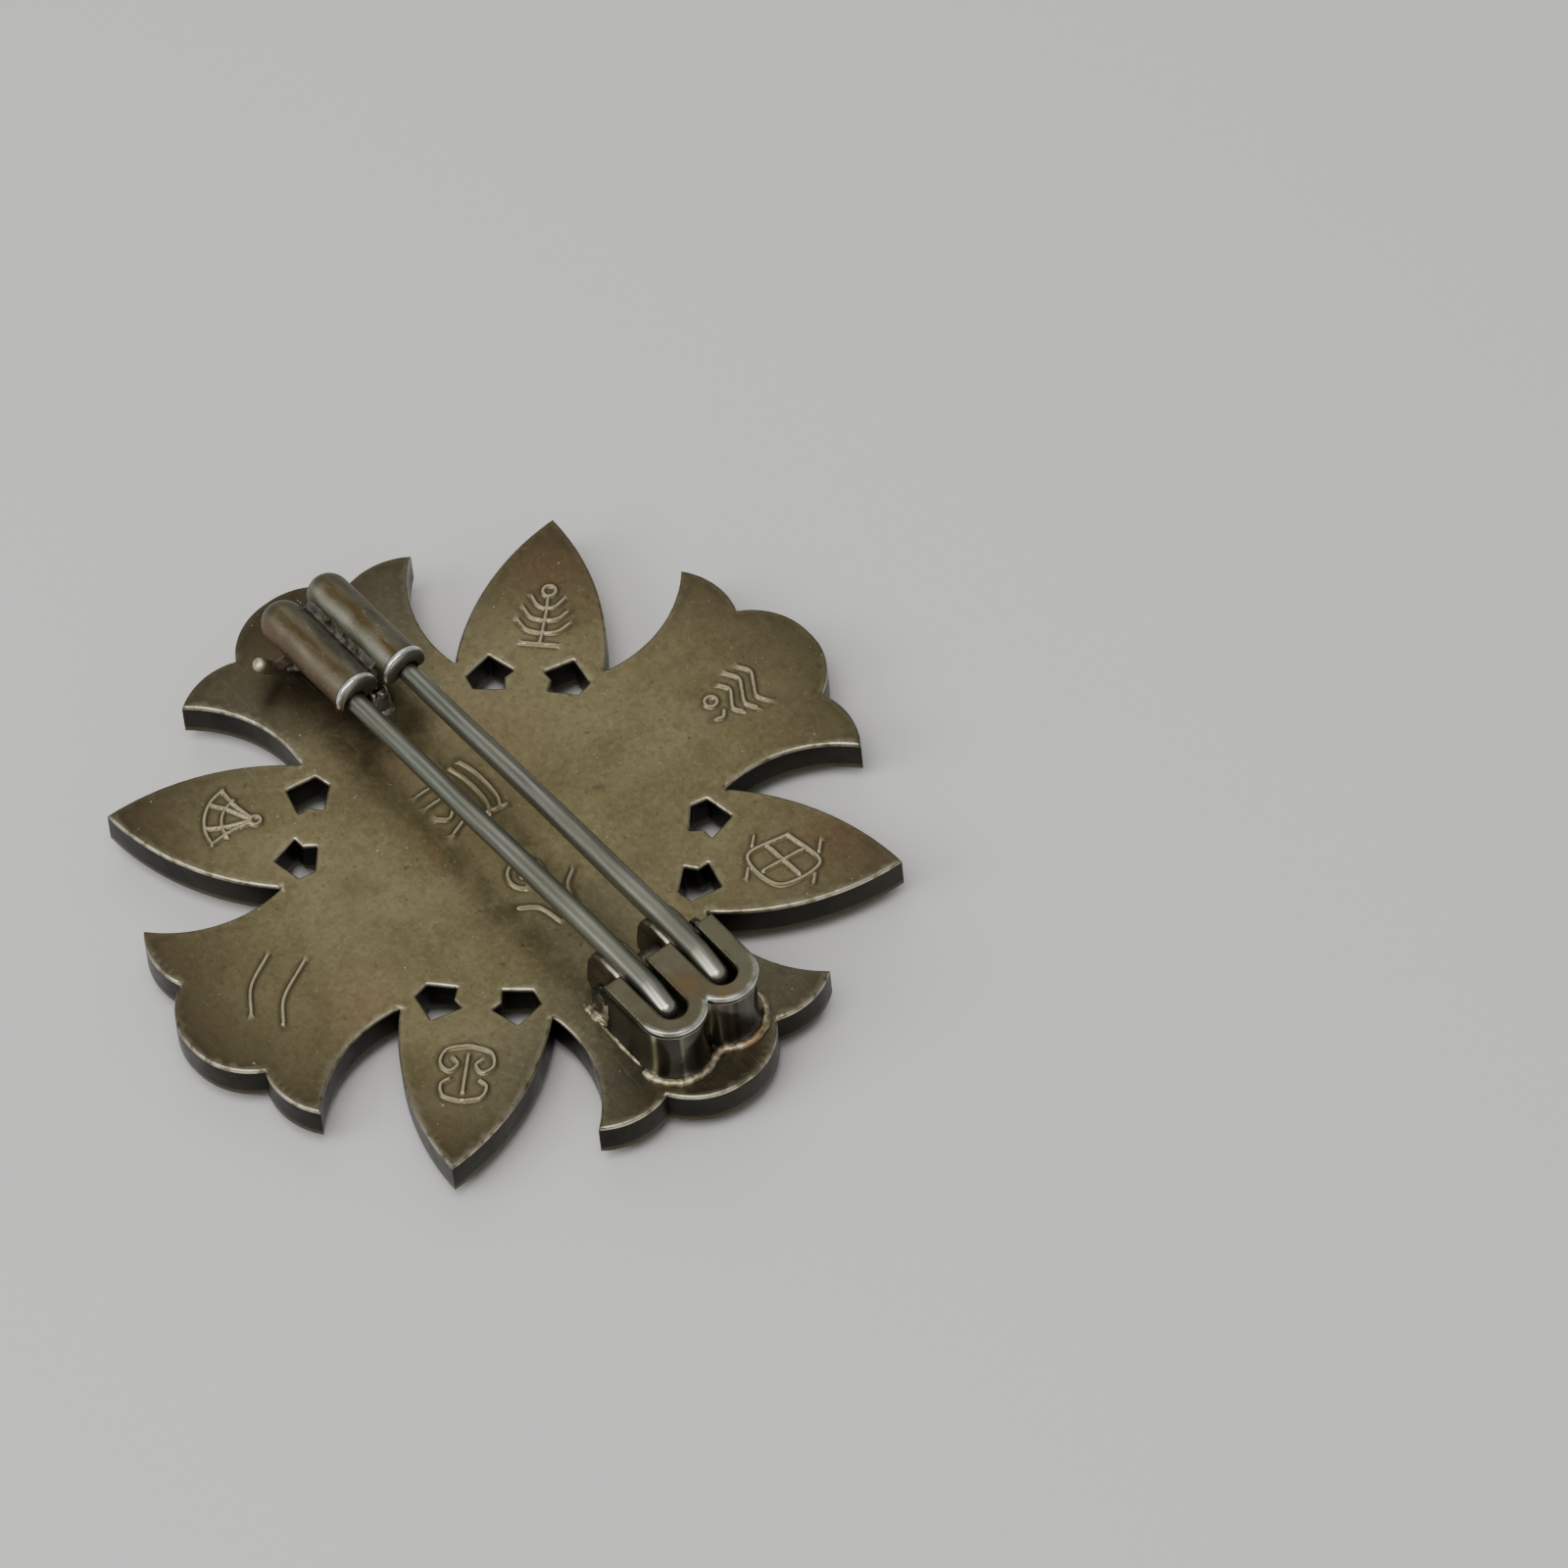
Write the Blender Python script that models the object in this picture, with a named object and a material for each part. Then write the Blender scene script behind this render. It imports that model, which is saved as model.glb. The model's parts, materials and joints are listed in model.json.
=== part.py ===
"""Back-mounted breast badge: an eight-armed struck star with a double-pronged hinged pin.

Metres, +Z up. The badge lies face down, so its pin is on top. The origin is under the star's centre,
on the surface that the badge rests on. The pin runs along X: hinge at +X, points and sheath at -X.
"""

import math

import bmesh
import bpy
from mathutils import Matrix, Vector

MM = 0.001

# --- Star -------------------------------------------------------------------------------------------
TIP_RADIUS = 22.5 * MM          # centre to the point of a leaf
PLATE_THICKNESS = 2.0 * MM
BOSS_RADIUS = 8.0 * MM          # round boss struck on the front, which the badge rests on
BOSS_HEIGHT = 1.2 * MM
BOSS_TAPER = 0.94               # the boss is this much narrower at its face
BACK_Z = BOSS_HEIGHT + PLATE_THICKNESS

# Points of half an arm, as (along, across) from the centre, in the arm's own direction.
ARM_LOBE_TOP = (21.95 * MM, 0.0)
ARM_CUSP = (19.8 * MM, 3.89 * MM)
ARM_CORNER = (19.15 * MM, 8.19 * MM)
# The root between an arm and a leaf, and the leaf's point, in the leaf's own direction.
LEAF_ROOT = (12.0 * MM, 4.28 * MM)
LEAF_TIP = (TIP_RADIUS, 0.0)
# How far each arc bows out from the straight line between its ends; below zero it bows in.
LOBE_BOW = 0.62 * MM
FLARE_BOW = 0.57 * MM
SIDE_BOW = -1.1 * MM
LEAF_BOW = 1.08 * MM
# One piercing beside a leaf's middle line: a five-sided hole with a small tooth on its inner side.
PIERCING = (
    (12.63 * MM, 2.44 * MM),
    (11.70 * MM, 0.87 * MM),
    (11.18 * MM, 1.37 * MM),
    (10.37 * MM, 1.26 * MM),
    (10.27 * MM, 2.99 * MM),
    (11.11 * MM, 3.52 * MM),
)

# --- Clasp, heights measured up from the back face ---------------------------------------------------
SEAT_GAP = 0.05 * MM            # left between soldered or resting pieces
CLASP_Y = 0.12 * MM             # the clasp is soldered a little off the arm's middle line
PRONG_SPREAD = 1.76 * MM        # middle line to each prong

BOX_TOP = 4.35 * MM
LID_THICKNESS = 0.55 * MM
LID_OVERHANG = 0.2 * MM
WALL_THICKNESS = 0.45 * MM
BOX_MOUTH_X = 14.35 * MM
BOX_REACH = 5.0 * MM            # wider than half the box, for its cutters
EAR_END_X = 12.7 * MM
EAR_HEIGHT = 2.9 * MM
LOBE_X = 17.85 * MM
LOBE_SPREAD = 1.78 * MM
LID_LOBE_RADIUS = 2.03 * MM
SLOT_RADIUS = 0.86 * MM

AXLE_X = 13.6 * MM
AXLE_HEIGHT = 2.05 * MM
AXLE_RADIUS = 0.5 * MM
AXLE_CLEARANCE = 0.08 * MM
AXLE = (AXLE_X, CLASP_Y, BACK_Z + AXLE_HEIGHT)
KNUCKLE_RADIUS = 1.8 * MM
KNUCKLE_WIDTH = 1.9 * MM
KNUCKLE_HEIGHT = 3.85 * MM
FOOT_TOE_X = 10.9 * MM
FOOT_TOE_HEIGHT = 1.23 * MM
FOOT_BULGE_X = 11.5 * MM
FOOT_BULGE_HEIGHT = 3.1 * MM
FOOT_TOP_X = 12.4 * MM
FOOT_HEEL_X = 12.79 * MM
FOOT_GAP = 0.1 * MM             # between the foot and the back face, when closed
SPACER_RADIUS = 0.95 * MM

PRONG_ROOT_RADIUS = 0.68 * MM
PRONG_MOUTH_RADIUS = 0.57 * MM
PRONG_HEIGHT = 3.9 * MM         # axis height above the knuckle
PRONG_LEVEL_X = 11.8 * MM       # the prong is level from here to its tail
PRONG_TAIL_X = 18.1 * MM
TAIL_START_X = 15.65 * MM       # the tail bends down a little behind here
TAIL_DROP = 0.28 * MM
TAIL_BLUNTNESS = 0.25           # share of the full radius at the end of the tail
PRONG_TIP_X = -15.4 * MM
POINT_LENGTH = 2.2 * MM
POINT_BLUNTNESS = 0.18          # share of the full radius at the very point
PRONG_SLOPE = 0.041             # fall per length towards the points
SLOPE_ANGLE = math.atan(PRONG_SLOPE)

TUBE_RADIUS = 1.3 * MM
TUBE_WALL = 0.24 * MM
TUBE_SPREAD = 1.56 * MM
TUBE_ENDS_X = {"left": (-19.65 * MM, -11.05 * MM), "right": (-19.5 * MM, -10.75 * MM)}
RIM_RADIUS = 1.4 * MM
RIM_LENGTH = 0.42 * MM
NOSE_LENGTH = 0.42 * MM         # in front of the rim, the tube closes in towards the prong
NOSE_RADIUS = 0.86 * MM
LIP_LENGTH = 0.35 * MM          # the mouth is closed in round the prong for this far
MOUTH_RADIUS = 0.72 * MM
SHEATH_X = -10.9 * MM           # origin of the sheath, on the prongs' line
SHEATH_Y = 0.35 * MM            # the tubes are closer together than the prongs in them
WEB_ENDS_X = (-18.3 * MM, -12.2 * MM)
WEB_TOP = 0.35 * MM             # above the tubes' axes
WEB_BOTTOM = -0.95 * MM

STRAP_THICKNESS = 0.38 * MM
STRAP_ENDS_X = (-18.4 * MM, -11.5 * MM)
STRAP_BEND = 0.3                # share of the thickness that its outer corner is cut by
LUG_WIDTH = 1.0 * MM
LUG_HEIGHT = 1.6 * MM
ROD_X = -17.3 * MM
ROD_RADIUS = 0.36 * MM
ROD_END_Y = 2.7 * MM            # half the straight run of the rod
FINGER_BEND = 1.0 * MM          # radius of the bend in the rod's outer end
FINGER_LENGTH = 1.4 * MM
FINGER_RADIUS = 0.44 * MM
FINGER_ANGLE = math.radians(50)
SIDES = ((-1, "left"), (1, "right"))

SILVER = (0.45, 0.42, 0.33)
STEEL = (0.55, 0.56, 0.54)
BROWN = (0.43, 0.38, 0.28)


def clear_scene():
    for item in list(bpy.data.objects):
        bpy.data.objects.remove(item)


def new_collection(name):
    collection = bpy.data.collections.new(name)
    bpy.context.scene.collection.children.link(collection)
    return collection


def metal(name, colour, roughness):
    material = bpy.data.materials.new(name)
    material.use_nodes = True
    shader = material.node_tree.nodes["Principled BSDF"]
    shader.inputs["Base Color"].default_value = (*colour, 1.0)
    shader.inputs["Roughness"].default_value = roughness
    shader.inputs["Metallic"].default_value = 1.0
    material.diffuse_color = (*colour, 1.0)
    return material


def place(mesh, name, collection, material=None):
    piece = bpy.data.objects.new(name, mesh)
    collection.objects.link(piece)
    if material:
        mesh.materials.append(material)
    return piece


def hide_cutter(cutter):
    cutter.hide_render = True
    cutter.display_type = "WIRE"
    return cutter


def cut(piece, cutter, operation="DIFFERENCE"):
    modifier = piece.modifiers.new(cutter.name, "BOOLEAN")
    modifier.operation = operation
    modifier.solver = "EXACT"
    modifier.object = cutter


def arc(start, end, bow, steps):
    """Points from start up to, but not with, end, on an arc that bows to the right of the way by bow."""
    a, b = Vector(start), Vector(end)
    chord = b - a
    half = chord.length / 2
    radius = (half * half + bow * bow) / (2 * abs(bow))
    right = Vector((chord.y, -chord.x)).normalized() * math.copysign(1.0, bow)
    centre = (a + b) / 2 - right * (radius - abs(bow))
    sweep = 2 * math.asin(half / radius)
    turn = math.copysign(1.0, bow) * sweep / steps
    arm = a - centre
    return [centre + Matrix.Rotation(turn * i, 2) @ arm for i in range(steps)]


def turned(points, angle):
    return [Matrix.Rotation(angle, 2) @ Vector(point) for point in points]


def mirrored(point):
    return (point[0], -point[1])


def star_outline():
    """The outline anticlockwise: at each quarter turn a flared arm, and a leaf between two arms."""
    quarter = math.pi / 2
    root = turned([mirrored(LEAF_ROOT)], quarter / 2)[0]
    outline = []
    for k in range(4):
        arm = (
            arc(mirrored(root), mirrored(ARM_CORNER), SIDE_BOW, 8)
            + arc(mirrored(ARM_CORNER), mirrored(ARM_CUSP), FLARE_BOW, 5)
            + arc(mirrored(ARM_CUSP), ARM_LOBE_TOP, LOBE_BOW, 6)
            + arc(ARM_LOBE_TOP, ARM_CUSP, LOBE_BOW, 6)
            + arc(ARM_CUSP, ARM_CORNER, FLARE_BOW, 5)
            + arc(ARM_CORNER, root, SIDE_BOW, 8)
        )
        leaf = arc(mirrored(LEAF_ROOT), LEAF_TIP, LEAF_BOW, 7) + arc(LEAF_TIP, LEAF_ROOT, LEAF_BOW, 7)
        outline += turned(arm, quarter * k) + turned(leaf, quarter * (k + 0.5))
    return outline


def piercings():
    holes = []
    for k in range(4):
        for side in (1, -1):
            hole = [(along, across * side) for along, across in PIERCING]
            holes.append(turned(hole, math.pi / 2 * (k + 0.5)))
    return holes


def flat_shape(name, outlines, bottom, height):
    """A mesh with these outlines, the first one outside and the others as holes, from bottom up."""
    curve = bpy.data.curves.new(name, "CURVE")
    curve.dimensions = "2D"
    curve.fill_mode = "BOTH"
    curve.extrude = height / 2
    for outline in outlines:
        spline = curve.splines.new("POLY")
        spline.points.add(len(outline) - 1)
        for point, (x, y) in zip(spline.points, outline):
            point.co = (x, y, 0.0, 1.0)
        spline.use_cyclic_u = True
    return curve_to_mesh(curve, name, Matrix.Translation((0, 0, bottom + height / 2)))


def curve_to_mesh(curve, name, transform):
    holder = bpy.data.objects.new(name, curve)
    bpy.context.scene.collection.objects.link(holder)
    bpy.context.view_layer.update()
    evaluated = holder.evaluated_get(bpy.context.evaluated_depsgraph_get())
    mesh = bpy.data.meshes.new_from_object(evaluated)
    bpy.data.objects.remove(holder)
    bpy.data.curves.remove(curve)
    body = bmesh.new()
    body.from_mesh(mesh)
    bmesh.ops.remove_doubles(body, verts=body.verts, dist=0.001 * MM)
    bmesh.ops.recalc_face_normals(body, faces=body.faces)
    body.transform(transform)
    body.to_mesh(mesh)
    body.free()
    mesh.name = name
    return mesh


def wire_mesh(name, points, radii):
    """A round wire through these points, with filled caps."""
    curve = bpy.data.curves.new(name, "CURVE")
    curve.dimensions = "3D"
    curve.bevel_depth = 1.0
    curve.bevel_resolution = 4
    curve.use_fill_caps = True
    spline = curve.splines.new("POLY")
    spline.points.add(len(points) - 1)
    for point, place_at, radius in zip(spline.points, points, radii):
        point.co = (*place_at, 1.0)
        point.radius = radius
    mesh = curve_to_mesh(curve, name, Matrix.Identity(4))
    shade_round(mesh)
    return mesh


def shade_round(mesh):
    mesh.shade_smooth()
    mesh.set_sharp_from_angle(angle=math.radians(40))


def rod_mesh(name, radius, length, segments=32):
    """A cylinder along Y, centred on the origin."""
    body = bmesh.new()
    bmesh.ops.create_cone(
        body,
        cap_ends=True,
        segments=segments,
        radius1=radius,
        radius2=radius,
        depth=length,
        matrix=Matrix.Rotation(math.pi / 2, 4, "X"),
    )
    mesh = bpy.data.meshes.new(name)
    body.to_mesh(mesh)
    body.free()
    shade_round(mesh)
    return mesh


def block_mesh(name, low, high):
    """A box between two corners."""
    body = bmesh.new()
    bmesh.ops.create_cube(body, size=1.0)
    size = [b - a for a, b in zip(low, high)]
    middle = [(a + b) / 2 for a, b in zip(low, high)]
    body.transform(Matrix.Translation(middle) @ Matrix.Diagonal((*size, 1.0)))
    mesh = bpy.data.meshes.new(name)
    body.to_mesh(mesh)
    body.free()
    return mesh


def new_pivot(name, location, collection):
    pivot = bpy.data.objects.new(name, None)
    pivot.location = location
    pivot.empty_display_size = 2 * MM
    collection.objects.link(pivot)
    return pivot


def make_star(collection, cutters, material):
    star = place(
        flat_shape("star_body", [star_outline()] + piercings(), BOSS_HEIGHT, PLATE_THICKNESS),
        "star_body",
        collection,
        material,
    )
    body = bmesh.new()
    bmesh.ops.create_cone(
        body,
        cap_ends=True,
        segments=64,
        radius1=BOSS_RADIUS * BOSS_TAPER,
        radius2=BOSS_RADIUS,
        depth=2 * BOSS_HEIGHT,
        matrix=Matrix.Translation((0, 0, BOSS_HEIGHT)),
    )
    boss = bpy.data.meshes.new("front_boss")
    body.to_mesh(boss)
    body.free()
    cut(star, hide_cutter(place(boss, "front_boss", cutters)), "UNION")
    return star


def box_outline(mouth_x, radius):
    """Two-lobed path of the hinge box, open at its mouth, from the -Y side round to the +Y side."""
    cusp = math.acos(LOBE_SPREAD / radius) if radius > LOBE_SPREAD else 0.0
    path = [(mouth_x, CLASP_Y - LOBE_SPREAD - radius)]
    steps = 12
    for side in (-1, 1):
        first = -math.pi / 2 if side < 0 else -math.pi / 2 + cusp
        last = math.pi / 2 - cusp if side < 0 else math.pi / 2
        for i in range(steps + 1):
            angle = first + (last - first) * i / steps
            path.append(
                (
                    LOBE_X + radius * math.cos(angle),
                    CLASP_Y + side * LOBE_SPREAD + radius * math.sin(angle),
                )
            )
    path.append((mouth_x, CLASP_Y + LOBE_SPREAD + radius))
    return path


def slot_path(side):
    """The open slot for one prong, from the mouth round its closed end and back."""
    middle = CLASP_Y + side * PRONG_SPREAD
    steps = 12
    path = [(BOX_MOUTH_X, middle - SLOT_RADIUS)]
    for i in range(steps + 1):
        angle = -math.pi / 2 + math.pi * i / steps
        path.append((LOBE_X + SLOT_RADIUS * math.cos(angle), middle + SLOT_RADIUS * math.sin(angle)))
    path.append((BOX_MOUTH_X, middle + SLOT_RADIUS))
    return path


def make_hinge_lid(collection, material):
    outline = box_outline(BOX_MOUTH_X, LID_LOBE_RADIUS)
    for side in (1, -1):
        outline += reversed(slot_path(side))
    return place(
        flat_shape("hinge_lid", [outline], BACK_Z + BOX_TOP - LID_THICKNESS, LID_THICKNESS),
        "hinge_lid",
        collection,
        material,
    )


def make_hinge_wall(collection, cutters, material):
    """A band round the box's two lobes. Its ends run on, low, as the ears that hold the axle."""
    outer = box_outline(EAR_END_X, LID_LOBE_RADIUS - LID_OVERHANG)
    inner = box_outline(EAR_END_X, LID_LOBE_RADIUS - LID_OVERHANG - WALL_THICKNESS)
    height = BOX_TOP - LID_THICKNESS - 2 * SEAT_GAP
    wall = place(
        flat_shape("hinge_wall", [outer + inner[::-1]], BACK_Z + SEAT_GAP, height),
        "hinge_wall",
        collection,
        material,
    )
    low = (EAR_END_X - 1 * MM, CLASP_Y - BOX_REACH, BACK_Z + EAR_HEIGHT)
    high = (BOX_MOUTH_X, CLASP_Y + BOX_REACH, BACK_Z + BOX_TOP)
    cut(wall, hide_cutter(place(block_mesh("above_ears", low, high), "above_ears", cutters)))
    bore = place(rod_mesh("axle_bore", AXLE_RADIUS + SEAT_GAP, 2 * BOX_REACH), "axle_bore", cutters)
    bore.location = AXLE
    cut(wall, hide_cutter(bore))
    return wall


def make_axle(collection, material):
    length = 2 * (LOBE_SPREAD + LID_LOBE_RADIUS - LID_OVERHANG) + 2 * SEAT_GAP
    axle = place(rod_mesh("hinge_axle", AXLE_RADIUS, length), "hinge_axle", collection, material)
    axle.location = AXLE
    return axle


def knuckle_profile():
    """Side view about the axle: a round eye, and a foot towards the points that rests on the back."""
    eye = []
    steps = 18
    for i in range(steps + 1):
        angle = math.radians(-100 + 200 * i / steps)
        eye.append((KNUCKLE_RADIUS * math.cos(angle), KNUCKLE_RADIUS * math.sin(angle)))
    floor = FOOT_GAP - AXLE_HEIGHT
    foot = [
        (FOOT_TOP_X - AXLE_X, KNUCKLE_HEIGHT - AXLE_HEIGHT),
        (FOOT_BULGE_X - AXLE_X, FOOT_BULGE_HEIGHT - AXLE_HEIGHT),
        (FOOT_TOE_X - AXLE_X, FOOT_TOE_HEIGHT - AXLE_HEIGHT),
        (FOOT_TOE_X - AXLE_X, floor),
        (FOOT_HEEL_X - AXLE_X, floor),
    ]
    return eye + foot


def make_knuckle(side, name, collection, cutters, material, pivot):
    """One thick eye on the axle, with a round groove along its top that the prong is soldered into."""
    profile = flat_shape(name, [knuckle_profile()], -KNUCKLE_WIDTH / 2, KNUCKLE_WIDTH)
    profile.transform(Matrix.Rotation(math.pi / 2, 4, "X"))
    knuckle = place(profile, name, collection, material)
    knuckle.parent = pivot
    knuckle.location = (0, side * PRONG_SPREAD, 0)

    bore = rod_mesh(name + "_bore", AXLE_RADIUS + AXLE_CLEARANCE, 2 * KNUCKLE_WIDTH)
    groove = rod_mesh(name + "_groove", PRONG_ROOT_RADIUS + SEAT_GAP, 4 * KNUCKLE_WIDTH)
    groove.transform(Matrix.Rotation(math.pi / 2, 4, "Z"))
    groove.transform(Matrix.Translation((0, 0, PRONG_HEIGHT - AXLE_HEIGHT)))
    for mesh in (bore, groove):
        cutter = hide_cutter(place(mesh, mesh.name, cutters))
        cutter.parent = knuckle
        cut(knuckle, cutter)
    return knuckle


def make_spacer(collection, cutters, material, pivot):
    length = 2 * (PRONG_SPREAD - KNUCKLE_WIDTH / 2 - SEAT_GAP)
    spacer = place(rod_mesh("hinge_spacer", SPACER_RADIUS, length), "hinge_spacer", collection, material)
    spacer.parent = pivot
    bore = place(
        rod_mesh("spacer_bore", AXLE_RADIUS + AXLE_CLEARANCE, 2 * length), "spacer_bore", cutters
    )
    bore.parent = spacer
    cut(spacer, hide_cutter(bore))
    return spacer


def prong_line(x):
    """Height of the prongs' axis over the back at x, on their straight run."""
    return PRONG_HEIGHT - PRONG_SLOPE * (PRONG_LEVEL_X - x)


def make_prong(side, name, collection, material, pivot):
    """A round wire that tapers from its root to a point, with a short rounded tail behind the axle."""
    points = []
    radii = []

    def add(x, height, radius):
        points.append((x - AXLE_X, 0, height - AXLE_HEIGHT))
        radii.append(radius)

    point_steps = 5
    for i in range(point_steps + 1):
        t = i / point_steps
        x = PRONG_TIP_X + POINT_LENGTH * t
        add(x, prong_line(x), PRONG_MOUTH_RADIUS * max(POINT_BLUNTNESS, math.sin(t * math.pi / 2)))
    run_steps = 7
    for i in range(1, run_steps):
        t = i / run_steps
        x = PRONG_TIP_X + POINT_LENGTH + (PRONG_LEVEL_X - PRONG_TIP_X - POINT_LENGTH) * t
        add(x, prong_line(x), PRONG_MOUTH_RADIUS + (PRONG_ROOT_RADIUS - PRONG_MOUTH_RADIUS) * t)
    add(PRONG_LEVEL_X, PRONG_HEIGHT, PRONG_ROOT_RADIUS)
    add(TAIL_START_X, PRONG_HEIGHT, PRONG_ROOT_RADIUS)
    end_steps = 6
    middle = PRONG_TAIL_X - PRONG_ROOT_RADIUS
    for i in range(end_steps):
        angle = math.pi / 2 * i / end_steps
        add(
            middle + PRONG_ROOT_RADIUS * math.sin(angle),
            PRONG_HEIGHT - TAIL_DROP * (1 + 0.5 * math.sin(angle)),
            PRONG_ROOT_RADIUS * max(TAIL_BLUNTNESS, math.cos(angle)),
        )
    prong = place(wire_mesh(name, points, radii), name, collection, material)
    prong.parent = pivot
    prong.location = (0, side * PRONG_SPREAD, 0)
    return prong


def tube_outside(length, offset):
    """Rings of a tube's outside, from the dome to the mouth: radius, height, and how far it is moved across."""
    rings = []
    dome_steps = 8
    for i in range(dome_steps + 1):
        angle = math.pi / 2 * i / dome_steps
        rings.append((TUBE_RADIUS * math.sin(angle), length - TUBE_RADIUS * (1 - math.cos(angle)), 0.0))
    bead = RIM_LENGTH / 2
    rim_steps = 6
    for i in range(rim_steps + 1):
        angle = math.pi / 2 - math.pi * i / rim_steps
        across = (RIM_RADIUS - TUBE_RADIUS) * math.cos(angle)
        rings.append((TUBE_RADIUS + across, NOSE_LENGTH + bead + bead * math.sin(angle), 0.0))
    nose_steps = 4
    for i in range(1, nose_steps + 1):
        angle = math.pi / 2 * i / nose_steps
        inward = 1 - math.cos(angle)
        radius = TUBE_RADIUS + (NOSE_RADIUS - TUBE_RADIUS) * inward
        rings.append((radius, NOSE_LENGTH * (1 - math.sin(angle)), offset * inward))
    return rings


def tube_inside(length):
    """Rings of a tube's bore, from its round end to the back of the lip."""
    bore = TUBE_RADIUS - TUBE_WALL
    rings = []
    dome_steps = 8
    for i in range(dome_steps + 1):
        angle = math.pi / 2 * i / dome_steps
        rings.append((bore * math.sin(angle), length - TUBE_WALL - bore * (1 - math.cos(angle)), 0.0))
    return rings + [(bore, NOSE_LENGTH + LIP_LENGTH, 0.0)]


def ringed_mesh(name, rings, segments=32):
    """A solid skinned over rings about Z, each moved along Y, with a pole first and a flat cap last."""
    body = bmesh.new()
    pole = body.verts.new((0, 0, rings[0][1]))
    loops = []
    for radius, height, across in rings[1:]:
        turns = [2 * math.pi * k / segments for k in range(segments)]
        loops.append([body.verts.new((radius * math.cos(t), across + radius * math.sin(t), height)) for t in turns])
    for k in range(segments):
        body.faces.new((pole, loops[0][k], loops[0][k - 1]))
        for upper, lower in zip(loops, loops[1:]):
            body.faces.new((upper[k - 1], upper[k], lower[k], lower[k - 1]))
    body.faces.new(loops[-1])
    bmesh.ops.recalc_face_normals(body, faces=body.faces)
    mesh = bpy.data.meshes.new(name)
    body.to_mesh(mesh)
    body.free()
    shade_round(mesh)
    return mesh


def make_tube(side, word, collection, cutters, material, sheath_pivot):
    """One closed tube of the sheath, with a rolled rim and a nose that closes in round the prong."""
    name = "sheath_tube_" + word
    end, mouth = TUBE_ENDS_X[word]
    length = mouth - end
    offset = CLASP_Y + side * PRONG_SPREAD - SHEATH_Y - side * TUBE_SPREAD
    tube = place(ringed_mesh(name, tube_outside(length, offset)), name, collection, material)
    tube.parent = sheath_pivot
    tube.location = (mouth - SHEATH_X, side * TUBE_SPREAD, PRONG_SLOPE * (mouth - SHEATH_X))
    tube.rotation_euler = (0, -math.pi / 2 - SLOPE_ANGLE, 0)

    bore = hide_cutter(place(ringed_mesh(name + "_bore", tube_inside(length)), name + "_bore", cutters))
    hole = rod_mesh(name + "_mouth", MOUTH_RADIUS, 4 * LIP_LENGTH + 2 * NOSE_LENGTH)
    hole.transform(Matrix.Rotation(math.pi / 2, 4, "X"))
    mouth_hole = hide_cutter(place(hole, name + "_mouth", cutters))
    mouth_hole.location = (0, offset, 0)
    for cutter in (bore, mouth_hole):
        cutter.parent = tube
        cut(tube, cutter)
    return tube


def make_web(collection, material, sheath_pivot):
    """The filling between the two tubes, hollow-sided where it lies against them."""
    fit = TUBE_RADIUS + SEAT_GAP
    steps = 8
    right = []
    for i in range(steps + 1):
        height = WEB_BOTTOM + (WEB_TOP - WEB_BOTTOM) * i / steps
        right.append((TUBE_SPREAD - math.sqrt(fit * fit - height * height), height))
    section = right + [(-y, height) for y, height in reversed(right)]
    length = WEB_ENDS_X[1] - WEB_ENDS_X[0]
    mesh = flat_shape("sheath_web", [section], 0, length)
    upright = Matrix(((0, 0, 1, 0), (1, 0, 0, 0), (0, 1, 0, 0), (0, 0, 0, 1)))
    mesh.transform(upright)
    web = place(mesh, "sheath_web", collection, material)
    web.parent = sheath_pivot
    start = WEB_ENDS_X[0] - SHEATH_X
    web.location = (start, 0, PRONG_SLOPE * start)
    web.rotation_euler = (0, -SLOPE_ANGLE, 0)
    return web


def make_strap(collection, material):
    """A strap soldered under the sheath, its end turned up into a lug between the prongs."""
    thick = STRAP_THICKNESS
    start, end = STRAP_ENDS_X
    side_view = [
        (start, 0),
        (end - STRAP_BEND * thick, 0),
        (end, STRAP_BEND * thick),
        (end, LUG_HEIGHT),
        (end - thick, LUG_HEIGHT),
        (end - thick, thick),
        (start, thick),
    ]
    mesh = flat_shape("catch_strap", [side_view], -LUG_WIDTH / 2, LUG_WIDTH)
    mesh.transform(Matrix.Rotation(math.pi / 2, 4, "X"))
    strap = place(mesh, "catch_strap", collection, material)
    strap.location = (0, SHEATH_Y, BACK_Z + SEAT_GAP)
    return strap


def make_rod(collection, material):
    """A cross rod on the strap. Its outer end is bent up into a short finger piece."""
    height = BACK_Z + STRAP_THICKNESS + 2 * SEAT_GAP + ROD_RADIUS
    route = [(ROD_END_Y, 0.0), (-ROD_END_Y, 0.0)]
    steps = 5
    for i in range(1, steps + 1):
        angle = FINGER_ANGLE * i / steps
        reach = FINGER_BEND * math.sin(angle)
        rise = FINGER_BEND * (1 - math.cos(angle))
        route.append((-ROD_END_Y - reach, rise))
    reach += FINGER_LENGTH * math.cos(FINGER_ANGLE)
    rise += FINGER_LENGTH * math.sin(FINGER_ANGLE)
    route.append((-ROD_END_Y - reach, rise))
    points = [(ROD_X, SHEATH_Y + y, height + z) for y, z in route]
    mesh = wire_mesh("catch_rod", points, [ROD_RADIUS] * (len(points) - 2) + [FINGER_RADIUS] * 2)
    return place(mesh, "catch_rod", collection, material)


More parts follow.
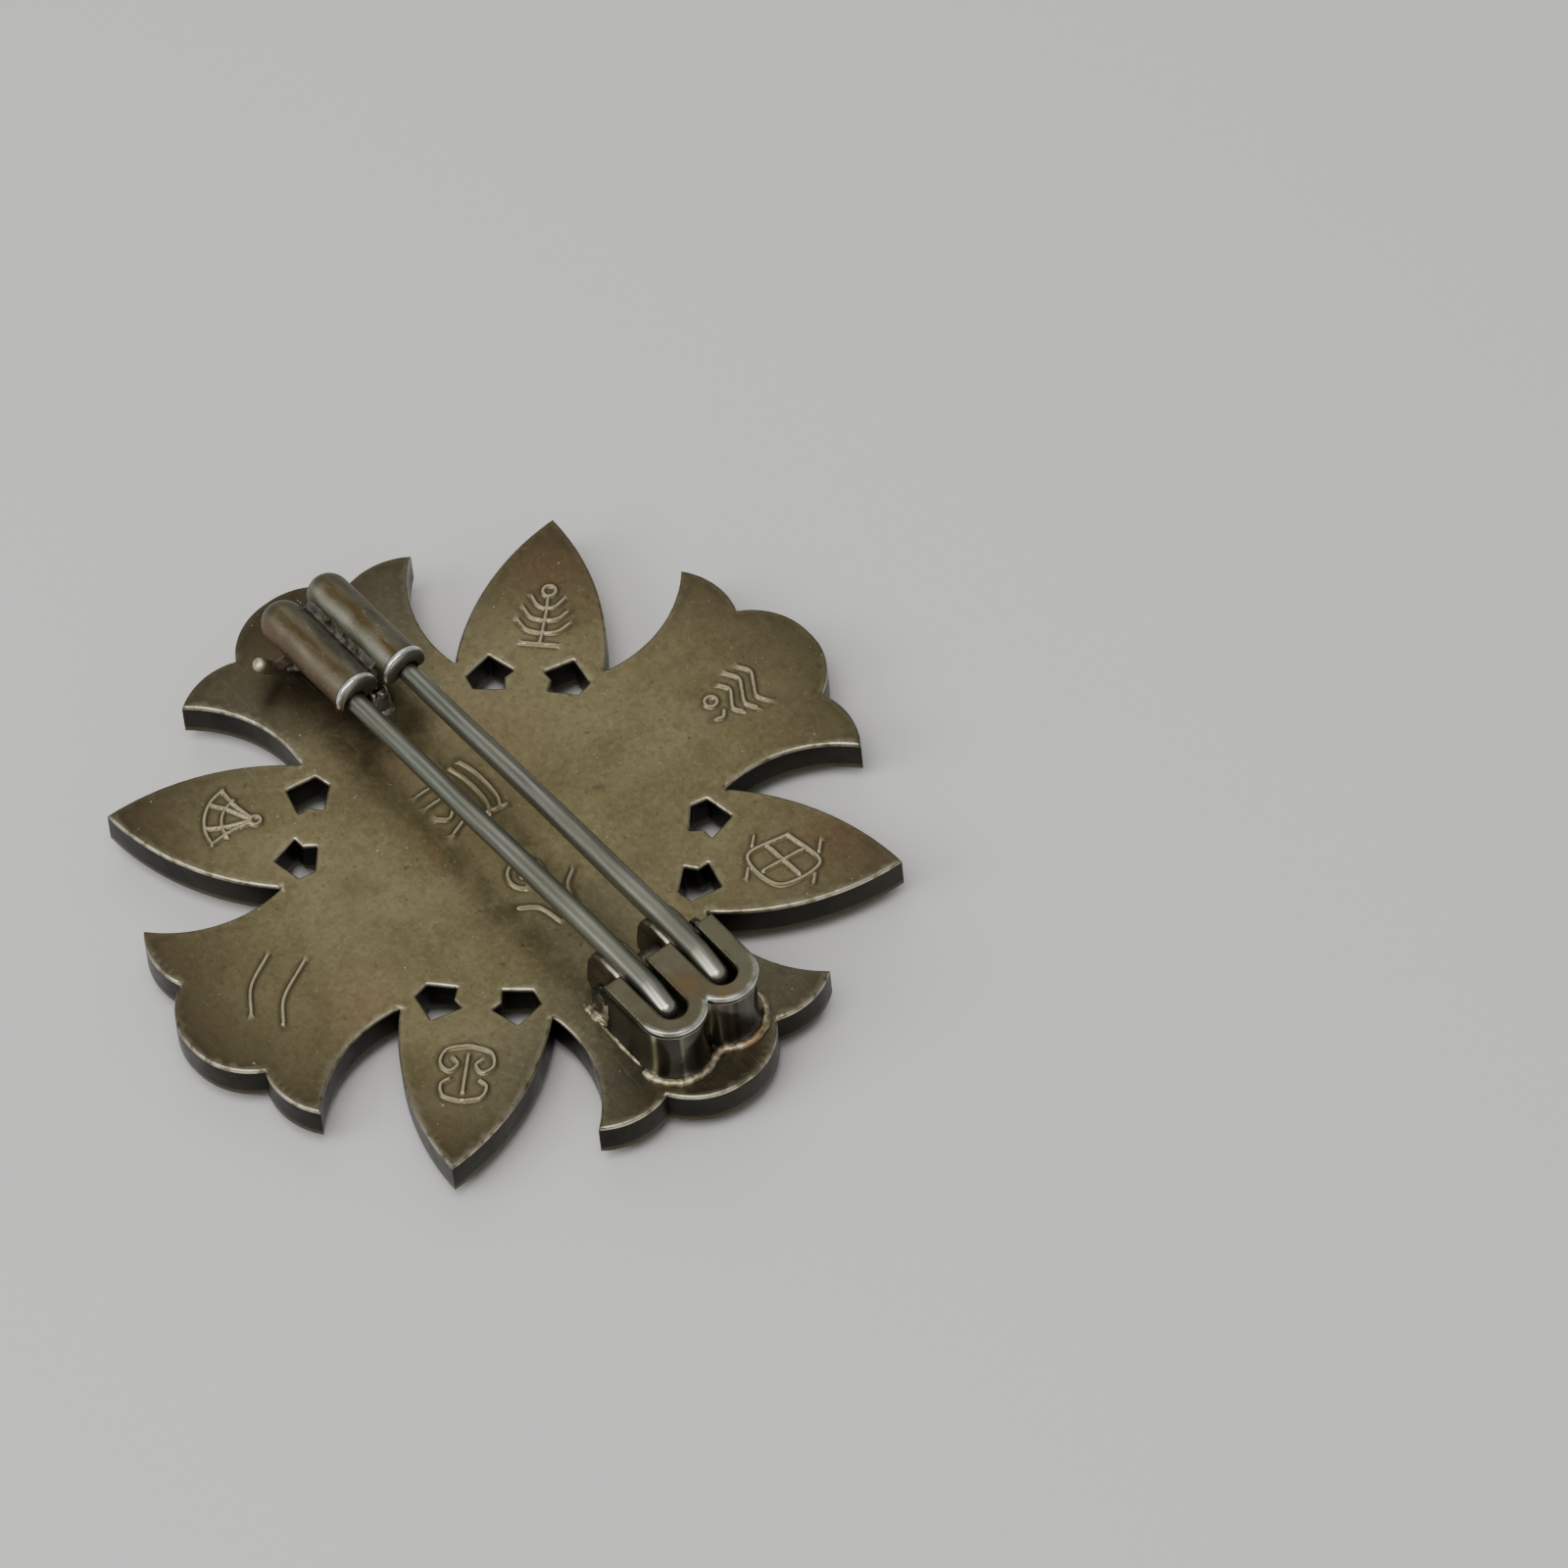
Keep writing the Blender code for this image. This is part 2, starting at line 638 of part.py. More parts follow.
def main():
    clear_scene()
    badge = new_collection("breast_badge")
    cutters = new_collection("cutters")
    silver = metal("aged_silver", SILVER, 0.42)
    brown = metal("browned_silver", BROWN, 0.40)
    steel = metal("grey_wire", STEEL, 0.30)

    make_star(badge, cutters, silver)
    make_hinge_wall(badge, cutters, steel)
    make_hinge_lid(badge, silver)
    make_axle(badge, steel)
    make_strap(badge, steel)
    make_rod(badge, silver)

    pin_pivot = new_pivot("pin_pivot", AXLE, badge)
    sheath_pivot = new_pivot("sheath_pivot", (SHEATH_X, SHEATH_Y, BACK_Z + prong_line(SHEATH_X)), badge)
    for side, word in SIDES:
        make_knuckle(side, "knuckle_" + word, badge, cutters, steel, pin_pivot)
        make_prong(side, "prong_" + word, badge, steel, pin_pivot)
        make_tube(side, word, badge, cutters, brown, sheath_pivot)
    make_spacer(badge, cutters, steel, pin_pivot)
    make_web(badge, silver, sheath_pivot)
    bpy.context.view_layer.update()


main()
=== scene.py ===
"""Looks of the eight-armed breast badge: a struck star, its hinged double pin and the pin's sheath.

Metres in the frame's own axes. The badge lies face down: its flat back is on top, the pin runs along X
over it, with the hinge at +X. Most shapes are worked out in millimetres and scaled at the end.
"""

import json
import math

import bmesh
import bpy
import numpy as np
from mathutils import Matrix, Vector, geometry, noise

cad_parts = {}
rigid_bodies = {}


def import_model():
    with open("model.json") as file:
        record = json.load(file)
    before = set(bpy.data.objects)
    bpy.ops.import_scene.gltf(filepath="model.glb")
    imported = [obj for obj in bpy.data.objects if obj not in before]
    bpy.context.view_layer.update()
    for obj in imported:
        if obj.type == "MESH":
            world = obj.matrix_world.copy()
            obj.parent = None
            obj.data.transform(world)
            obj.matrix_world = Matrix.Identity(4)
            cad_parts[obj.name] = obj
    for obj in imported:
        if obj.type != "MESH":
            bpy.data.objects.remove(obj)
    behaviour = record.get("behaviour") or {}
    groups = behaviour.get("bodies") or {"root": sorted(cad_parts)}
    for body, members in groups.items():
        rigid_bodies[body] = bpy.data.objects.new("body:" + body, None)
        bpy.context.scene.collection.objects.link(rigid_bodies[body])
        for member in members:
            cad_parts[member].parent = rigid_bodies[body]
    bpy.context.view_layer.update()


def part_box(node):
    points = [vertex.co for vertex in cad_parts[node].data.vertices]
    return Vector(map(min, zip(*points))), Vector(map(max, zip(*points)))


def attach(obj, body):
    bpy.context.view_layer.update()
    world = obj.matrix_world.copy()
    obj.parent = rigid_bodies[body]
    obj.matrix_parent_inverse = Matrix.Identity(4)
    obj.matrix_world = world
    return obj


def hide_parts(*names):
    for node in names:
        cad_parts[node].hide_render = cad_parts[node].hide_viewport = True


MM = 0.001

for item in list(bpy.data.objects):
    bpy.data.objects.remove(item)
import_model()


# === Places and sizes, in millimetres, with heights up from the resting plane ===

def cad_box(node):
    """Lowest and highest corner of a CAD node, in millimetres."""
    low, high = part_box(node)
    return low / MM, high / MM


BACK = cad_box("star_body")[1].z            # height of the star's flat back
TIP = 22.5
FRONT = 1.2                                 # height of the plate's front, above the boss's face
BOSS_RADIUS = 8.0
BOSS_FACE_RADIUS = 7.52

ARM_LOBE_TOP = (21.95, 0.0)
ARM_CUSP = (19.8, 3.89)
ARM_CORNER = (19.15, 8.19)
LEAF_ROOT = (12.0, 4.28)
LEAF_TIP = (TIP, 0.0)
LOBE_BOW, FLARE_BOW, SIDE_BOW, LEAF_BOW = 0.62, 0.57, -1.1, 1.08
PIERCING = ((12.63, 2.44), (11.70, 0.87), (11.18, 1.37), (10.37, 1.26), (10.27, 2.99), (11.11, 3.52))
PIERCING_STEP, PIERCING_CORNER = 0.2, 0.07

CLASP_Y = 0.12
LID_LOW, LID_HIGH = (corner.z for corner in cad_box("hinge_lid"))
BOX_MOUTH_X = cad_box("hinge_lid")[0].x
EAR_END_X = cad_box("hinge_wall")[0].x
EAR_HEIGHT = 2.9
LOBE_X, LOBE_SPREAD, LID_LOBE_RADIUS = 17.85, 1.78, 2.03
LID_OVERHANG, WALL_THICKNESS = 0.2, 0.45
FLARE = 0.38                                # how far the wall's foot stands out
WALL_STEP = 0.12
WALL_SHARES = (0.0, 0.05, 0.11, 0.19, 0.30, 0.45, 0.65)
BEAD_RADIUS = 0.30
SLOT_RADIUS = 0.86
AXLE_X, AXLE_HEIGHT, AXLE_RADIUS = 13.6, 2.05, 0.5

PRONG_SPREAD = 1.76
PRONG_HEIGHT, PRONG_LEVEL_X, PRONG_SLOPE = 3.9, 11.8, 0.041
PRONG_ROOT_RADIUS, PRONG_MOUTH_RADIUS = 0.68, 0.57
PRONG_TIP_X, PRONG_POINT = -15.4, 2.2
TAIL_START_X, PRONG_TAIL_X, TAIL_DROP = 15.65, 18.1, 0.28
KNUCKLE_HEIGHT, KNUCKLE_RADIUS, KNUCKLE_WIDTH = 3.85, 1.8, 1.9

TUBE_RADIUS, TUBE_WALL, TUBE_SPREAD = 1.3, 0.24, 1.56
TUBE_ENDS_X = {"left": (-19.65, -11.05), "right": (-19.5, -10.75)}
RIM_RADIUS, RIM_LENGTH, RIM_SLANT = 1.4, 0.34, 0.75
NOSE_LENGTH, NOSE_RADIUS, LIP_LENGTH, MOUTH_RADIUS = 0.30, 0.86, 0.35, 0.72
SHEATH_Y = 0.35
WEB_ENDS_X = (-18.7, -11.9)
STRAP_THICKNESS, STRAP_WIDTH, LUG_TOP = 0.38, 1.0, 1.6
ROD_X, ROD_RADIUS = -17.3, 0.36
SIDES = ((-1, "left"), (1, "right"))
WALL_LEVELS = (0.04, 0.5, 0.96)             # shares of a plate's side wall where it has rings of points


# === Camera, lights and floor ===

def placed(name, data):
    """A new object in the scene, with this data."""
    item = bpy.data.objects.new(name, data)
    bpy.context.scene.collection.objects.link(item)
    return item


def way_to(azimuth, elevation):
    """A step of length 1 this way, angles in degrees."""
    a, e = math.radians(azimuth), math.radians(elevation)
    return Vector((math.cos(a) * math.cos(e), math.sin(a) * math.cos(e), math.sin(e)))


def add_camera():
    """A long lens from over the hinge side, rolled a little, as the photograph was taken."""
    aim = Vector((7.45 * MM, 14.21 * MM, BACK * MM))
    distance = 786.9 * MM
    roll = math.radians(-6.0)
    out = way_to(-33.63, 53.63)
    camera = placed("camera", bpy.data.cameras.new("camera"))
    camera.data.lens = 322.2
    camera.data.sensor_width = 36.0
    camera.data.clip_start = 0.01
    upright = (-out).to_track_quat("-Z", "Y").to_matrix().to_4x4()
    camera.matrix_world = Matrix.Translation(aim + out * distance) @ upright @ Matrix.Rotation(roll, 4, "Z")
    bpy.context.scene.camera = camera


def add_area(name, azimuth, elevation, distance, size, power, colour=(1, 1, 1)):
    """A soft box that looks at the badge from this direction, angles in degrees."""
    light = bpy.data.lights.new(name, "AREA")
    light.shape = "RECTANGLE"
    light.size, light.size_y = size
    light.energy = power
    light.color = colour
    lamp = placed(name, light)
    out = way_to(azimuth, elevation)
    lamp.location = out * distance
    lamp.rotation_euler = out.to_track_quat("Z", "Y").to_euler()


def add_world():
    world = bpy.data.worlds.new("studio")
    world.use_nodes = True
    background = world.node_tree.nodes["Background"]
    background.inputs["Color"].default_value = (0.93, 0.96, 1.0, 1)
    background.inputs["Strength"].default_value = 0.32
    bpy.context.scene.world = world


def add_floor():
    mesh = bpy.data.meshes.new("floor")
    reach = 1.2
    corners = [(-reach, -reach, 0), (reach, -reach, 0), (reach, reach, 0), (-reach, reach, 0)]
    mesh.from_pydata(corners, [], [(0, 1, 2, 3)])
    material = bpy.data.materials.new("pale_floor")
    material.use_nodes = True
    shader = material.node_tree.nodes["Principled BSDF"]
    shader.inputs["Base Color"].default_value = (0.66, 0.65, 0.63, 1)
    shader.inputs["Roughness"].default_value = 0.85
    mesh.materials.append(material)
    placed("floor", mesh)


# === Materials ===

class Graph:
    """Short ways to add nodes to one material, which starts as a Principled shader."""

    def __init__(self, name, metallic):
        """A metal of this name, with its colours placed by the object's own axes."""
        self.material = bpy.data.materials.new(name)
        self.material.use_nodes = True
        self.tree = self.material.node_tree
        self.shader = self.tree.nodes["Principled BSDF"]
        self.shader.inputs["Metallic"].default_value = metallic
        self.place = self.add("ShaderNodeTexCoord").outputs["Object"]

    def add(self, kind, **settings):
        node = self.tree.nodes.new(kind)
        for key, value in settings.items():
            setattr(node, key, value)
        return node

    def feed(self, socket, value):
        if isinstance(value, bpy.types.NodeSocket):
            self.tree.links.new(value, socket)
        else:
            socket.default_value = value

    def noise(self, size, detail=3.0, rough=0.55, stretch=(1, 1, 1), shift=0.0, warp=0.0, turn=0.0):
        """Noise with features of this size in millimetres, 0 to 1, spread about 0.5."""
        mapping = self.add("ShaderNodeMapping")
        self.feed(mapping.inputs["Vector"], self.place)
        scale = 1.0 / (size * MM)
        mapping.inputs["Scale"].default_value = [scale / s for s in stretch]
        mapping.inputs["Location"].default_value = (shift, 2.3 * shift, -1.7 * shift)
        mapping.inputs["Rotation"].default_value = (0, 0, turn)
        mapping.vector_type = "POINT"
        texture = self.add("ShaderNodeTexNoise")
        self.feed(texture.inputs["Vector"], mapping.outputs["Vector"])
        texture.inputs["Scale"].default_value = 1.0
        texture.inputs["Detail"].default_value = detail
        texture.inputs["Roughness"].default_value = rough
        texture.inputs["Distortion"].default_value = warp
        return texture.outputs["Fac"]

    def scale(self, value, low, high, to_low=0.0, to_high=1.0):
        node = self.add("ShaderNodeMapRange", interpolation_type="SMOOTHSTEP")
        self.feed(node.inputs["Value"], value)
        for key, number in (("From Min", low), ("From Max", high), ("To Min", to_low), ("To Max", to_high)):
            node.inputs[key].default_value = number
        return node.outputs["Result"]

    def math(self, operation, a, b=0.0):
        node = self.add("ShaderNodeMath", operation=operation)
        self.feed(node.inputs[0], a)
        self.feed(node.inputs[1], b)
        return node.outputs[0]

    def times(self, a, b):
        return self.math("MULTIPLY", a, b)

    def less(self, a, b, share):
        """a, less this share of b."""
        return self.math("SUBTRACT", a, self.times(b, share))

    def part(self, value, low, high, most):
        """0 up to most, as value climbs from low to high."""
        return self.times(self.scale(value, low, high), most)

    def mix(self, share, a, b):
        node = self.add("ShaderNodeMix", data_type="RGBA")
        self.feed(node.inputs["Factor"], share)
        for socket, value in ((node.inputs[6], a), (node.inputs[7], b)):
            self.feed(socket, (*value, 1.0) if isinstance(value, tuple) else value)
        return node.outputs[2]

    def coats(self, colour, *layers):
        """The colour under layers, each given as its share and its own colour."""
        for share, paint in layers:
            colour = self.mix(share, colour, paint)
        return colour

    def attribute(self, name):
        node = self.add("ShaderNodeAttribute", attribute_type="GEOMETRY", attribute_name=name)
        return node.outputs["Fac"]

    def bump(self, height, depth):
        """Bump whose height, from 0 to 1, stands for this depth in millimetres."""
        node = self.add("ShaderNodeBump")
        node.inputs["Strength"].default_value = 1.0
        node.inputs["Distance"].default_value = depth * MM
        self.feed(node.inputs["Height"], height)
        return node.outputs["Normal"]

    def scratches(self, turn, shift, width=0.05, length=9.0, rarity=0.66):
        """Thin straight lines one way, mostly 0, up to 1 along a scratch."""
        fine = self.noise(width, 1.0, 0.4, (length / width, 1, 1), shift, turn=turn)
        where = self.noise(4.0, 1.0, 0.5, shift=shift + 3.1)
        lines = self.scale(fine, rarity, rarity + 0.10)
        return self.times(lines, self.scale(where, 0.46, 0.62))

    def finish(self, colour, rough, normal):
        for key, value in (("Base Color", colour), ("Roughness", rough), ("Normal", normal)):
            self.feed(self.shader.inputs[key], value)
        return self.material


def star_material():
    """Silver aged to olive brown: softly mottled, a little scratched, pale where its edges are worn, with a
    painted highlight on the edges that face one way.
    """
    g = Graph("aged_silver", 0.9)
    broad = g.noise(6.0, 3.0, 0.55, shift=1.0, warp=0.4)
    mottle = g.noise(1.5, 4.0, 0.6, shift=4.0, warp=0.6)
    pits = g.part(g.noise(0.42, 2.0, 0.5, shift=21.0), 0.66, 0.76, 0.6)
    lines = g.scratches(0.5, 41.0, rarity=0.70)
    lines = g.math("MAXIMUM", lines, g.scratches(-0.75, 47.0, length=6.0, rarity=0.71))
    lines = g.math("MAXIMUM", lines, g.scratches(1.9, 53.0, 0.04, 5.0, 0.70))
    # pale edges: worn silver, and a painted highlight on the edges that face the glare
    wear_and_highlight = g.times(g.attribute("edge"), g.scale(g.noise(0.8, 3.0, 0.6, shift=61.0), 0.34, 0.56, 0.25, 1.0))
    colour = g.coats(
        (0.150, 0.122, 0.058),
        (g.scale(broad, 0.34, 0.66), (0.205, 0.172, 0.087)),
        (g.part(mottle, 0.44, 0.70, 0.55), (0.245, 0.206, 0.112)),
        (g.part(g.noise(2.6, 3.0, 0.6, shift=11.0), 0.50, 0.72, 0.45), (0.138, 0.128, 0.052)),
        (g.times(g.attribute("cool"), 0.85), (0.094, 0.096, 0.070)),
        (g.times(g.attribute("red"), 0.8), (0.185, 0.098, 0.050)),
        (g.times(g.attribute("orange"), 0.85), (0.33, 0.155, 0.06)),
        (g.part(g.noise(0.45, 5.0, 0.75, shift=71.0), 0.42, 0.66, 0.38), (0.085, 0.068, 0.034)),
        (g.part(g.noise(0.38, 5.0, 0.75, shift=75.0), 0.46, 0.70, 0.22), (0.34, 0.295, 0.18)),
        # dark: stains, and painted shade towards the tips, beside the sheath and on the front's edges
        (g.attribute("dark"), (0.050, 0.038, 0.020)),
        (pits, (0.075, 0.058, 0.028)),
        (g.part(g.noise(0.26, 2.0, 0.5, shift=31.0), 0.73, 0.78, 0.6), (0.50, 0.45, 0.31)),
        (g.times(g.attribute("moat"), g.scale(mottle, 0.25, 0.6, 0.6, 1.0)), (0.055, 0.042, 0.020)),
        (g.times(lines, 0.35), (0.42, 0.37, 0.25)),
        (wear_and_highlight, (0.70, 0.64, 0.47)),
        (g.times(g.attribute("raised"), g.scale(mottle, 0.28, 0.55, 0.55, 1.0)), (0.40, 0.345, 0.215)),
        # side walls: painted shade, near black where the walls lie in shadow
        (g.attribute("wall"), g.mix(g.scale(broad, 0.4, 0.62), (0.010, 0.009, 0.007), (0.026, 0.022, 0.015))),
    )
    rough = g.less(g.scale(mottle, 0.25, 0.75, 0.34, 0.46), wear_and_highlight, 0.10)
    height = g.math("ADD", g.times(g.noise(0.30, 3.0, 0.6, shift=7.0), 0.30), g.times(mottle, 0.8))
    height = g.less(g.less(height, pits, 0.4), lines, 0.2)
    return g.finish(colour, rough, g.bump(height, 0.028))


def grey_material():
    """The hinge box: a smooth mauve-brown lid with a pale lip, rubbed and with a painted highlight, and a
    dark polished wall.
    """
    g = Graph("grey_silver", 0.92)
    cloud = g.noise(2.6, 3.0, 0.6, shift=2.0, warp=0.5)
    mottle = g.noise(0.8, 3.0, 0.6, shift=5.0)
    drawn = g.scale(g.noise(1.1, 2.0, 0.5, (1, 1, 14), 9.0), 0.40, 0.62)
    wall = g.mix(drawn, (0.050, 0.046, 0.036), (0.115, 0.108, 0.090))
    patchy = g.scale(g.noise(1.4, 3.0, 0.55, shift=33.0), 0.36, 0.56, 0.30, 1.0)
    lines = g.math("MAXIMUM", g.scratches(0.2, 3.0, length=5.0), g.scratches(1.2, 13.0, length=4.0))
    colour = g.coats(
        (0.084, 0.076, 0.042),
        (g.scale(cloud, 0.38, 0.64), (0.122, 0.112, 0.070)),
        (g.part(mottle, 0.45, 0.7, 0.4), (0.098, 0.082, 0.062)),
        (g.times(g.attribute("red"), 0.8), (0.16, 0.085, 0.036)),
        # streak: painted reflection of the window on the polished wall
        (g.attribute("wall"), g.mix(g.attribute("streak"), wall, (0.50, 0.49, 0.36))),
        (g.times(g.attribute("edge"), patchy), (0.72, 0.71, 0.64)),
        (g.times(lines, 0.25), (0.36, 0.34, 0.27)),
    )
    rough = g.less(g.scale(cloud, 0.3, 0.7, 0.30, 0.40), g.attribute("wall"), 0.14)
    height = g.math("ADD", mottle, g.times(g.noise(0.2, 2.0, shift=17.0), 0.4))
    return g.finish(colour, rough, g.bump(height, 0.014))


def wire_material():
    """Grey drawn wire: faint lines along it, brighter where the tail is rubbed and where a highlight is
    painted on it.
    """
    g = Graph("pin_wire", 0.95)
    drawn = g.noise(0.22, 3.0, 0.6, (45, 1, 1), 3.0)
    cloud = g.noise(2.2, 3.0, 0.6, (3, 1, 1), 6.0)
    polish_and_highlight = g.attribute("polish_and_highlight")
    colour = g.coats(
        (0.165, 0.166, 0.130),
        (g.scale(drawn, 0.30, 0.70), (0.235, 0.236, 0.192)),
        (g.part(cloud, 0.48, 0.7, 0.5), (0.150, 0.140, 0.100)),
        # rubbed polish, and a painted highlight on the prongs' tails
        (g.times(polish_and_highlight, 0.8), (0.52, 0.50, 0.41)),
    )
    return g.finish(colour, g.less(g.scale(cloud, 0.3, 0.7, 0.34, 0.44), polish_and_highlight, 0.12), g.bump(drawn, 0.008))


def knuckle_material():
    """The thick eyes of the pin: dark brown, with a painted highlight along their top edges."""
    g = Graph("knuckle_steel", 0.85)
    mottle = g.noise(0.5, 3.0, 0.6, shift=2.0)
    colour = g.coats(
        (0.060, 0.047, 0.030),
        (g.scale(g.noise(1.6, 3.0, 0.6, shift=8.0, warp=0.4), 0.36, 0.64), (0.120, 0.100, 0.068)),
        (g.part(mottle, 0.5, 0.7, 0.5), (0.165, 0.138, 0.10)),
        # painted highlight along the eyes' top edges
        (g.times(g.attribute("edge"), g.scale(mottle, 0.3, 0.5, 0.6, 1.0)), (0.66, 0.62, 0.50)),
    )
    return g.finish(colour, g.scale(mottle, 0.3, 0.7, 0.34, 0.46), g.bump(mottle, 0.02))


def finger_material():
    """The cross rod: pinkish brown, with the tip of its finger piece rubbed bright."""
    g = Graph("rubbed_rod", 0.85)
    cloud = g.noise(0.9, 3.0, 0.6, shift=18.0, warp=0.4)
    colour = g.mix(g.scale(cloud, 0.36, 0.64), (0.185, 0.130, 0.088), (0.30, 0.225, 0.165))
    colour = g.mix(g.attribute("polish_and_highlight"), colour, (0.50, 0.46, 0.32))
    return g.finish(colour, g.scale(cloud, 0.3, 0.7, 0.36, 0.50), g.bump(cloud, 0.04))


def tube_material():
    """Drawn silver tube: olive grey, browned along its top, a painted highlight band below that, a painted
    reflection of the warm plate along its lower side, and a bright rim.
    """
    g = Graph("browned_silver", 0.9)
    stain = g.noise(0.9, 3.0, 0.6, (4, 1, 1), 5.0, 0.3)
    cloud = g.noise(1.0, 4.0, 0.65, (2.0, 1, 1), 12.0, 0.4)
    colour = g.coats(
        (0.118, 0.106, 0.070),
        (g.scale(cloud, 0.32, 0.68), (0.190, 0.174, 0.122)),
        # band: painted highlight
        (g.times(g.attribute("band"), g.scale(cloud, 0.30, 0.60, 0.5, 1.0)), (0.30, 0.29, 0.225)),
        (g.times(g.attribute("crown"), g.scale(stain, 0.36, 0.60, 0.35, 1.0)), (0.092, 0.062, 0.022)),
        # painted reflection of the warm plate on the tube's lower side
        (g.attribute("plate_reflection"), (0.175, 0.105, 0.060)),
        (g.part(g.noise(0.22, 2.0, 0.5, shift=19.0), 0.68, 0.75, 0.5), (0.46, 0.42, 0.30)),
        (g.attribute("edge"), (0.78, 0.77, 0.71)),
        (g.attribute("face"), (0.118, 0.112, 0.084)),
        (g.attribute("moat"), (0.045, 0.036, 0.022)),
        (g.attribute("inside"), (0.03, 0.025, 0.018)),
    )
    rough = g.less(g.scale(cloud, 0.3, 0.7, 0.46, 0.58), g.attribute("edge"), 0.28)
    height = g.math("ADD", cloud, g.times(g.noise(0.25, 2.0, shift=27.0), 0.35))
    return g.finish(colour, rough, g.bump(height, 0.03))


def solder_material(name, low, high):
    """Silver solder: soft lumps with dirt in their hollows, a little green and orange."""
    g = Graph(name, 0.85)
    lump = g.noise(0.5, 3.0, 0.6, shift=4.0)
    colour = g.coats(
        low,
        (g.scale(lump, 0.36, 0.62), high),
        (g.part(g.noise(1.6, 3.0, 0.6, shift=14.0), 0.56, 0.70, 0.45), (0.16, 0.150, 0.070)),
        (g.times(g.attribute("orange"), 0.7), (0.42, 0.19, 0.06)),
    )
    return g.finish(colour, g.scale(lump, 0.3, 0.7, 0.32, 0.46), g.bump(lump, 0.03))


# === Mesh building ===

def arc(start, end, bow, steps):
    """Points from start up to, but not with, end, on an arc that bows to the right of the way by bow."""
    a, b = Vector(start), Vector(end)
    chord = b - a
    half = chord.length / 2
    radius = (half * half + bow * bow) / (2 * abs(bow))
    right = Vector((chord.y, -chord.x)).normalized() * math.copysign(1.0, bow)
    centre = (a + b) / 2 - right * (radius - abs(bow))
    turn = math.copysign(1.0, bow) * 2 * math.asin(half / radius) / steps
    arm = a - centre
    return [centre + Matrix.Rotation(turn * i, 2) @ arm for i in range(steps)]


def on_circle(x, y, radius, angles):
    return [(x + radius * math.cos(a), y + radius * math.sin(a)) for a in angles]


def turned(points, angle):
    return [Matrix.Rotation(angle, 2) @ Vector(point) for point in points]


def mirrored(point):
    return (point[0], -point[1])


def star_outline():
    quarter = math.pi / 2
    root = turned([mirrored(LEAF_ROOT)], quarter / 2)[0]
    outline = []
    for k in range(4):
        arm = (
            arc(mirrored(root), mirrored(ARM_CORNER), SIDE_BOW, 32)
            + arc(mirrored(ARM_CORNER), mirrored(ARM_CUSP), FLARE_BOW, 18)
            + arc(mirrored(ARM_CUSP), ARM_LOBE_TOP, LOBE_BOW, 18)
            + arc(ARM_LOBE_TOP, ARM_CUSP, LOBE_BOW, 18)
            + arc(ARM_CUSP, ARM_CORNER, FLARE_BOW, 18)
            + arc(ARM_CORNER, root, SIDE_BOW, 32)
        )
        leaf = arc(mirrored(LEAF_ROOT), LEAF_TIP, LEAF_BOW, 40) + arc(LEAF_TIP, LEAF_ROOT, LEAF_BOW, 40)
        outline += turned(arm, quarter * k) + turned(leaf, quarter * (k + 0.5))
    return np.array(outline)


def cornered(loop, step, cut):
    """A closed polygon with points about step apart on its sides, and each corner rounded off by cut."""
    points = []
    count = len(loop)
    for i in range(count):
        before, here, after = (np.array(loop[(i + k) % count], float) for k in (-1, 0, 1))
        side = np.linalg.norm(after - here)
        to_after = (after - here) / side
        first = here + (before - here) / np.linalg.norm(before - here) * cut
        last = here + to_after * cut
        points += [(1 - t) ** 2 * first + 2 * t * (1 - t) * here + t * t * last for t in (0, 0.33, 0.67)]
        reach = side - 2 * cut
        cuts = max(1, round(reach / step))
        points += [last + to_after * reach * k / cuts for k in range(cuts)]
    return np.array(points)


def star_piercings():
    holes = []
    for k in range(4):
        for side in (1, -1):
            hole = turned([(along, across * side) for along, across in PIERCING], math.pi / 2 * (k + 0.5))
            holes.append(cornered(hole, PIERCING_STEP, PIERCING_CORNER))
    return holes


def clean_loops(loops):
    """The outer loop anticlockwise and the holes clockwise, so that the metal is always on the left."""
    result = []
    for i, loop in enumerate(loops):
        loop = np.asarray(loop, float)
        x, y = loop.T
        anticlockwise = np.sum(x * np.roll(y, -1) - np.roll(x, -1) * y) > 0
        result.append(loop if anticlockwise == (i == 0) else loop[::-1])
    return result


def segments(paths, closed):
    starts, ends = [], []
    for path in paths:
        path = np.asarray(path, float)
        starts.append(path if closed else path[:-1])
        ends.append(np.roll(path, -1, axis=0) if closed else path[1:])
    return np.concatenate(starts), np.concatenate(ends)


def distance_to(points, starts, ends):
    """Least distance from each point to any of these segments."""
    best = np.full(len(points), 1e9)
    for a, b in zip(starts, ends):
        along = b - a
        offset = points - a
        t = np.clip(offset @ along / max(along @ along, 1e-12), 0, 1)
        gap = offset - t[:, None] * along
        best = np.minimum(best, np.einsum("ij,ij->i", gap, gap))
    return np.sqrt(best)


def inside(points, starts, ends):
    odd = np.zeros(len(points), bool)
    x, y = points.T
    for (ax, ay), (bx, by) in zip(starts, ends):
        if ay != by:
            odd ^= ((ay > y) != (by > y)) & (x < ax + (y - ay) * (bx - ax) / (by - ay))
    return odd


def inset(loop, distance):
    """The loop moved to its left, into the metal."""
    ahead = np.roll(loop, -1, axis=0) - loop
    ahead /= np.linalg.norm(ahead, axis=1)[:, None]
    behind = np.roll(ahead, 1, axis=0)
    middle = ahead + behind
    length = np.linalg.norm(middle, axis=1)[:, None]
    middle /= np.maximum(length, 1e-9)
    left = np.stack([-middle[:, 1], middle[:, 0]], axis=1)
    return loop + left * distance / np.maximum(length / 2, 0.35)


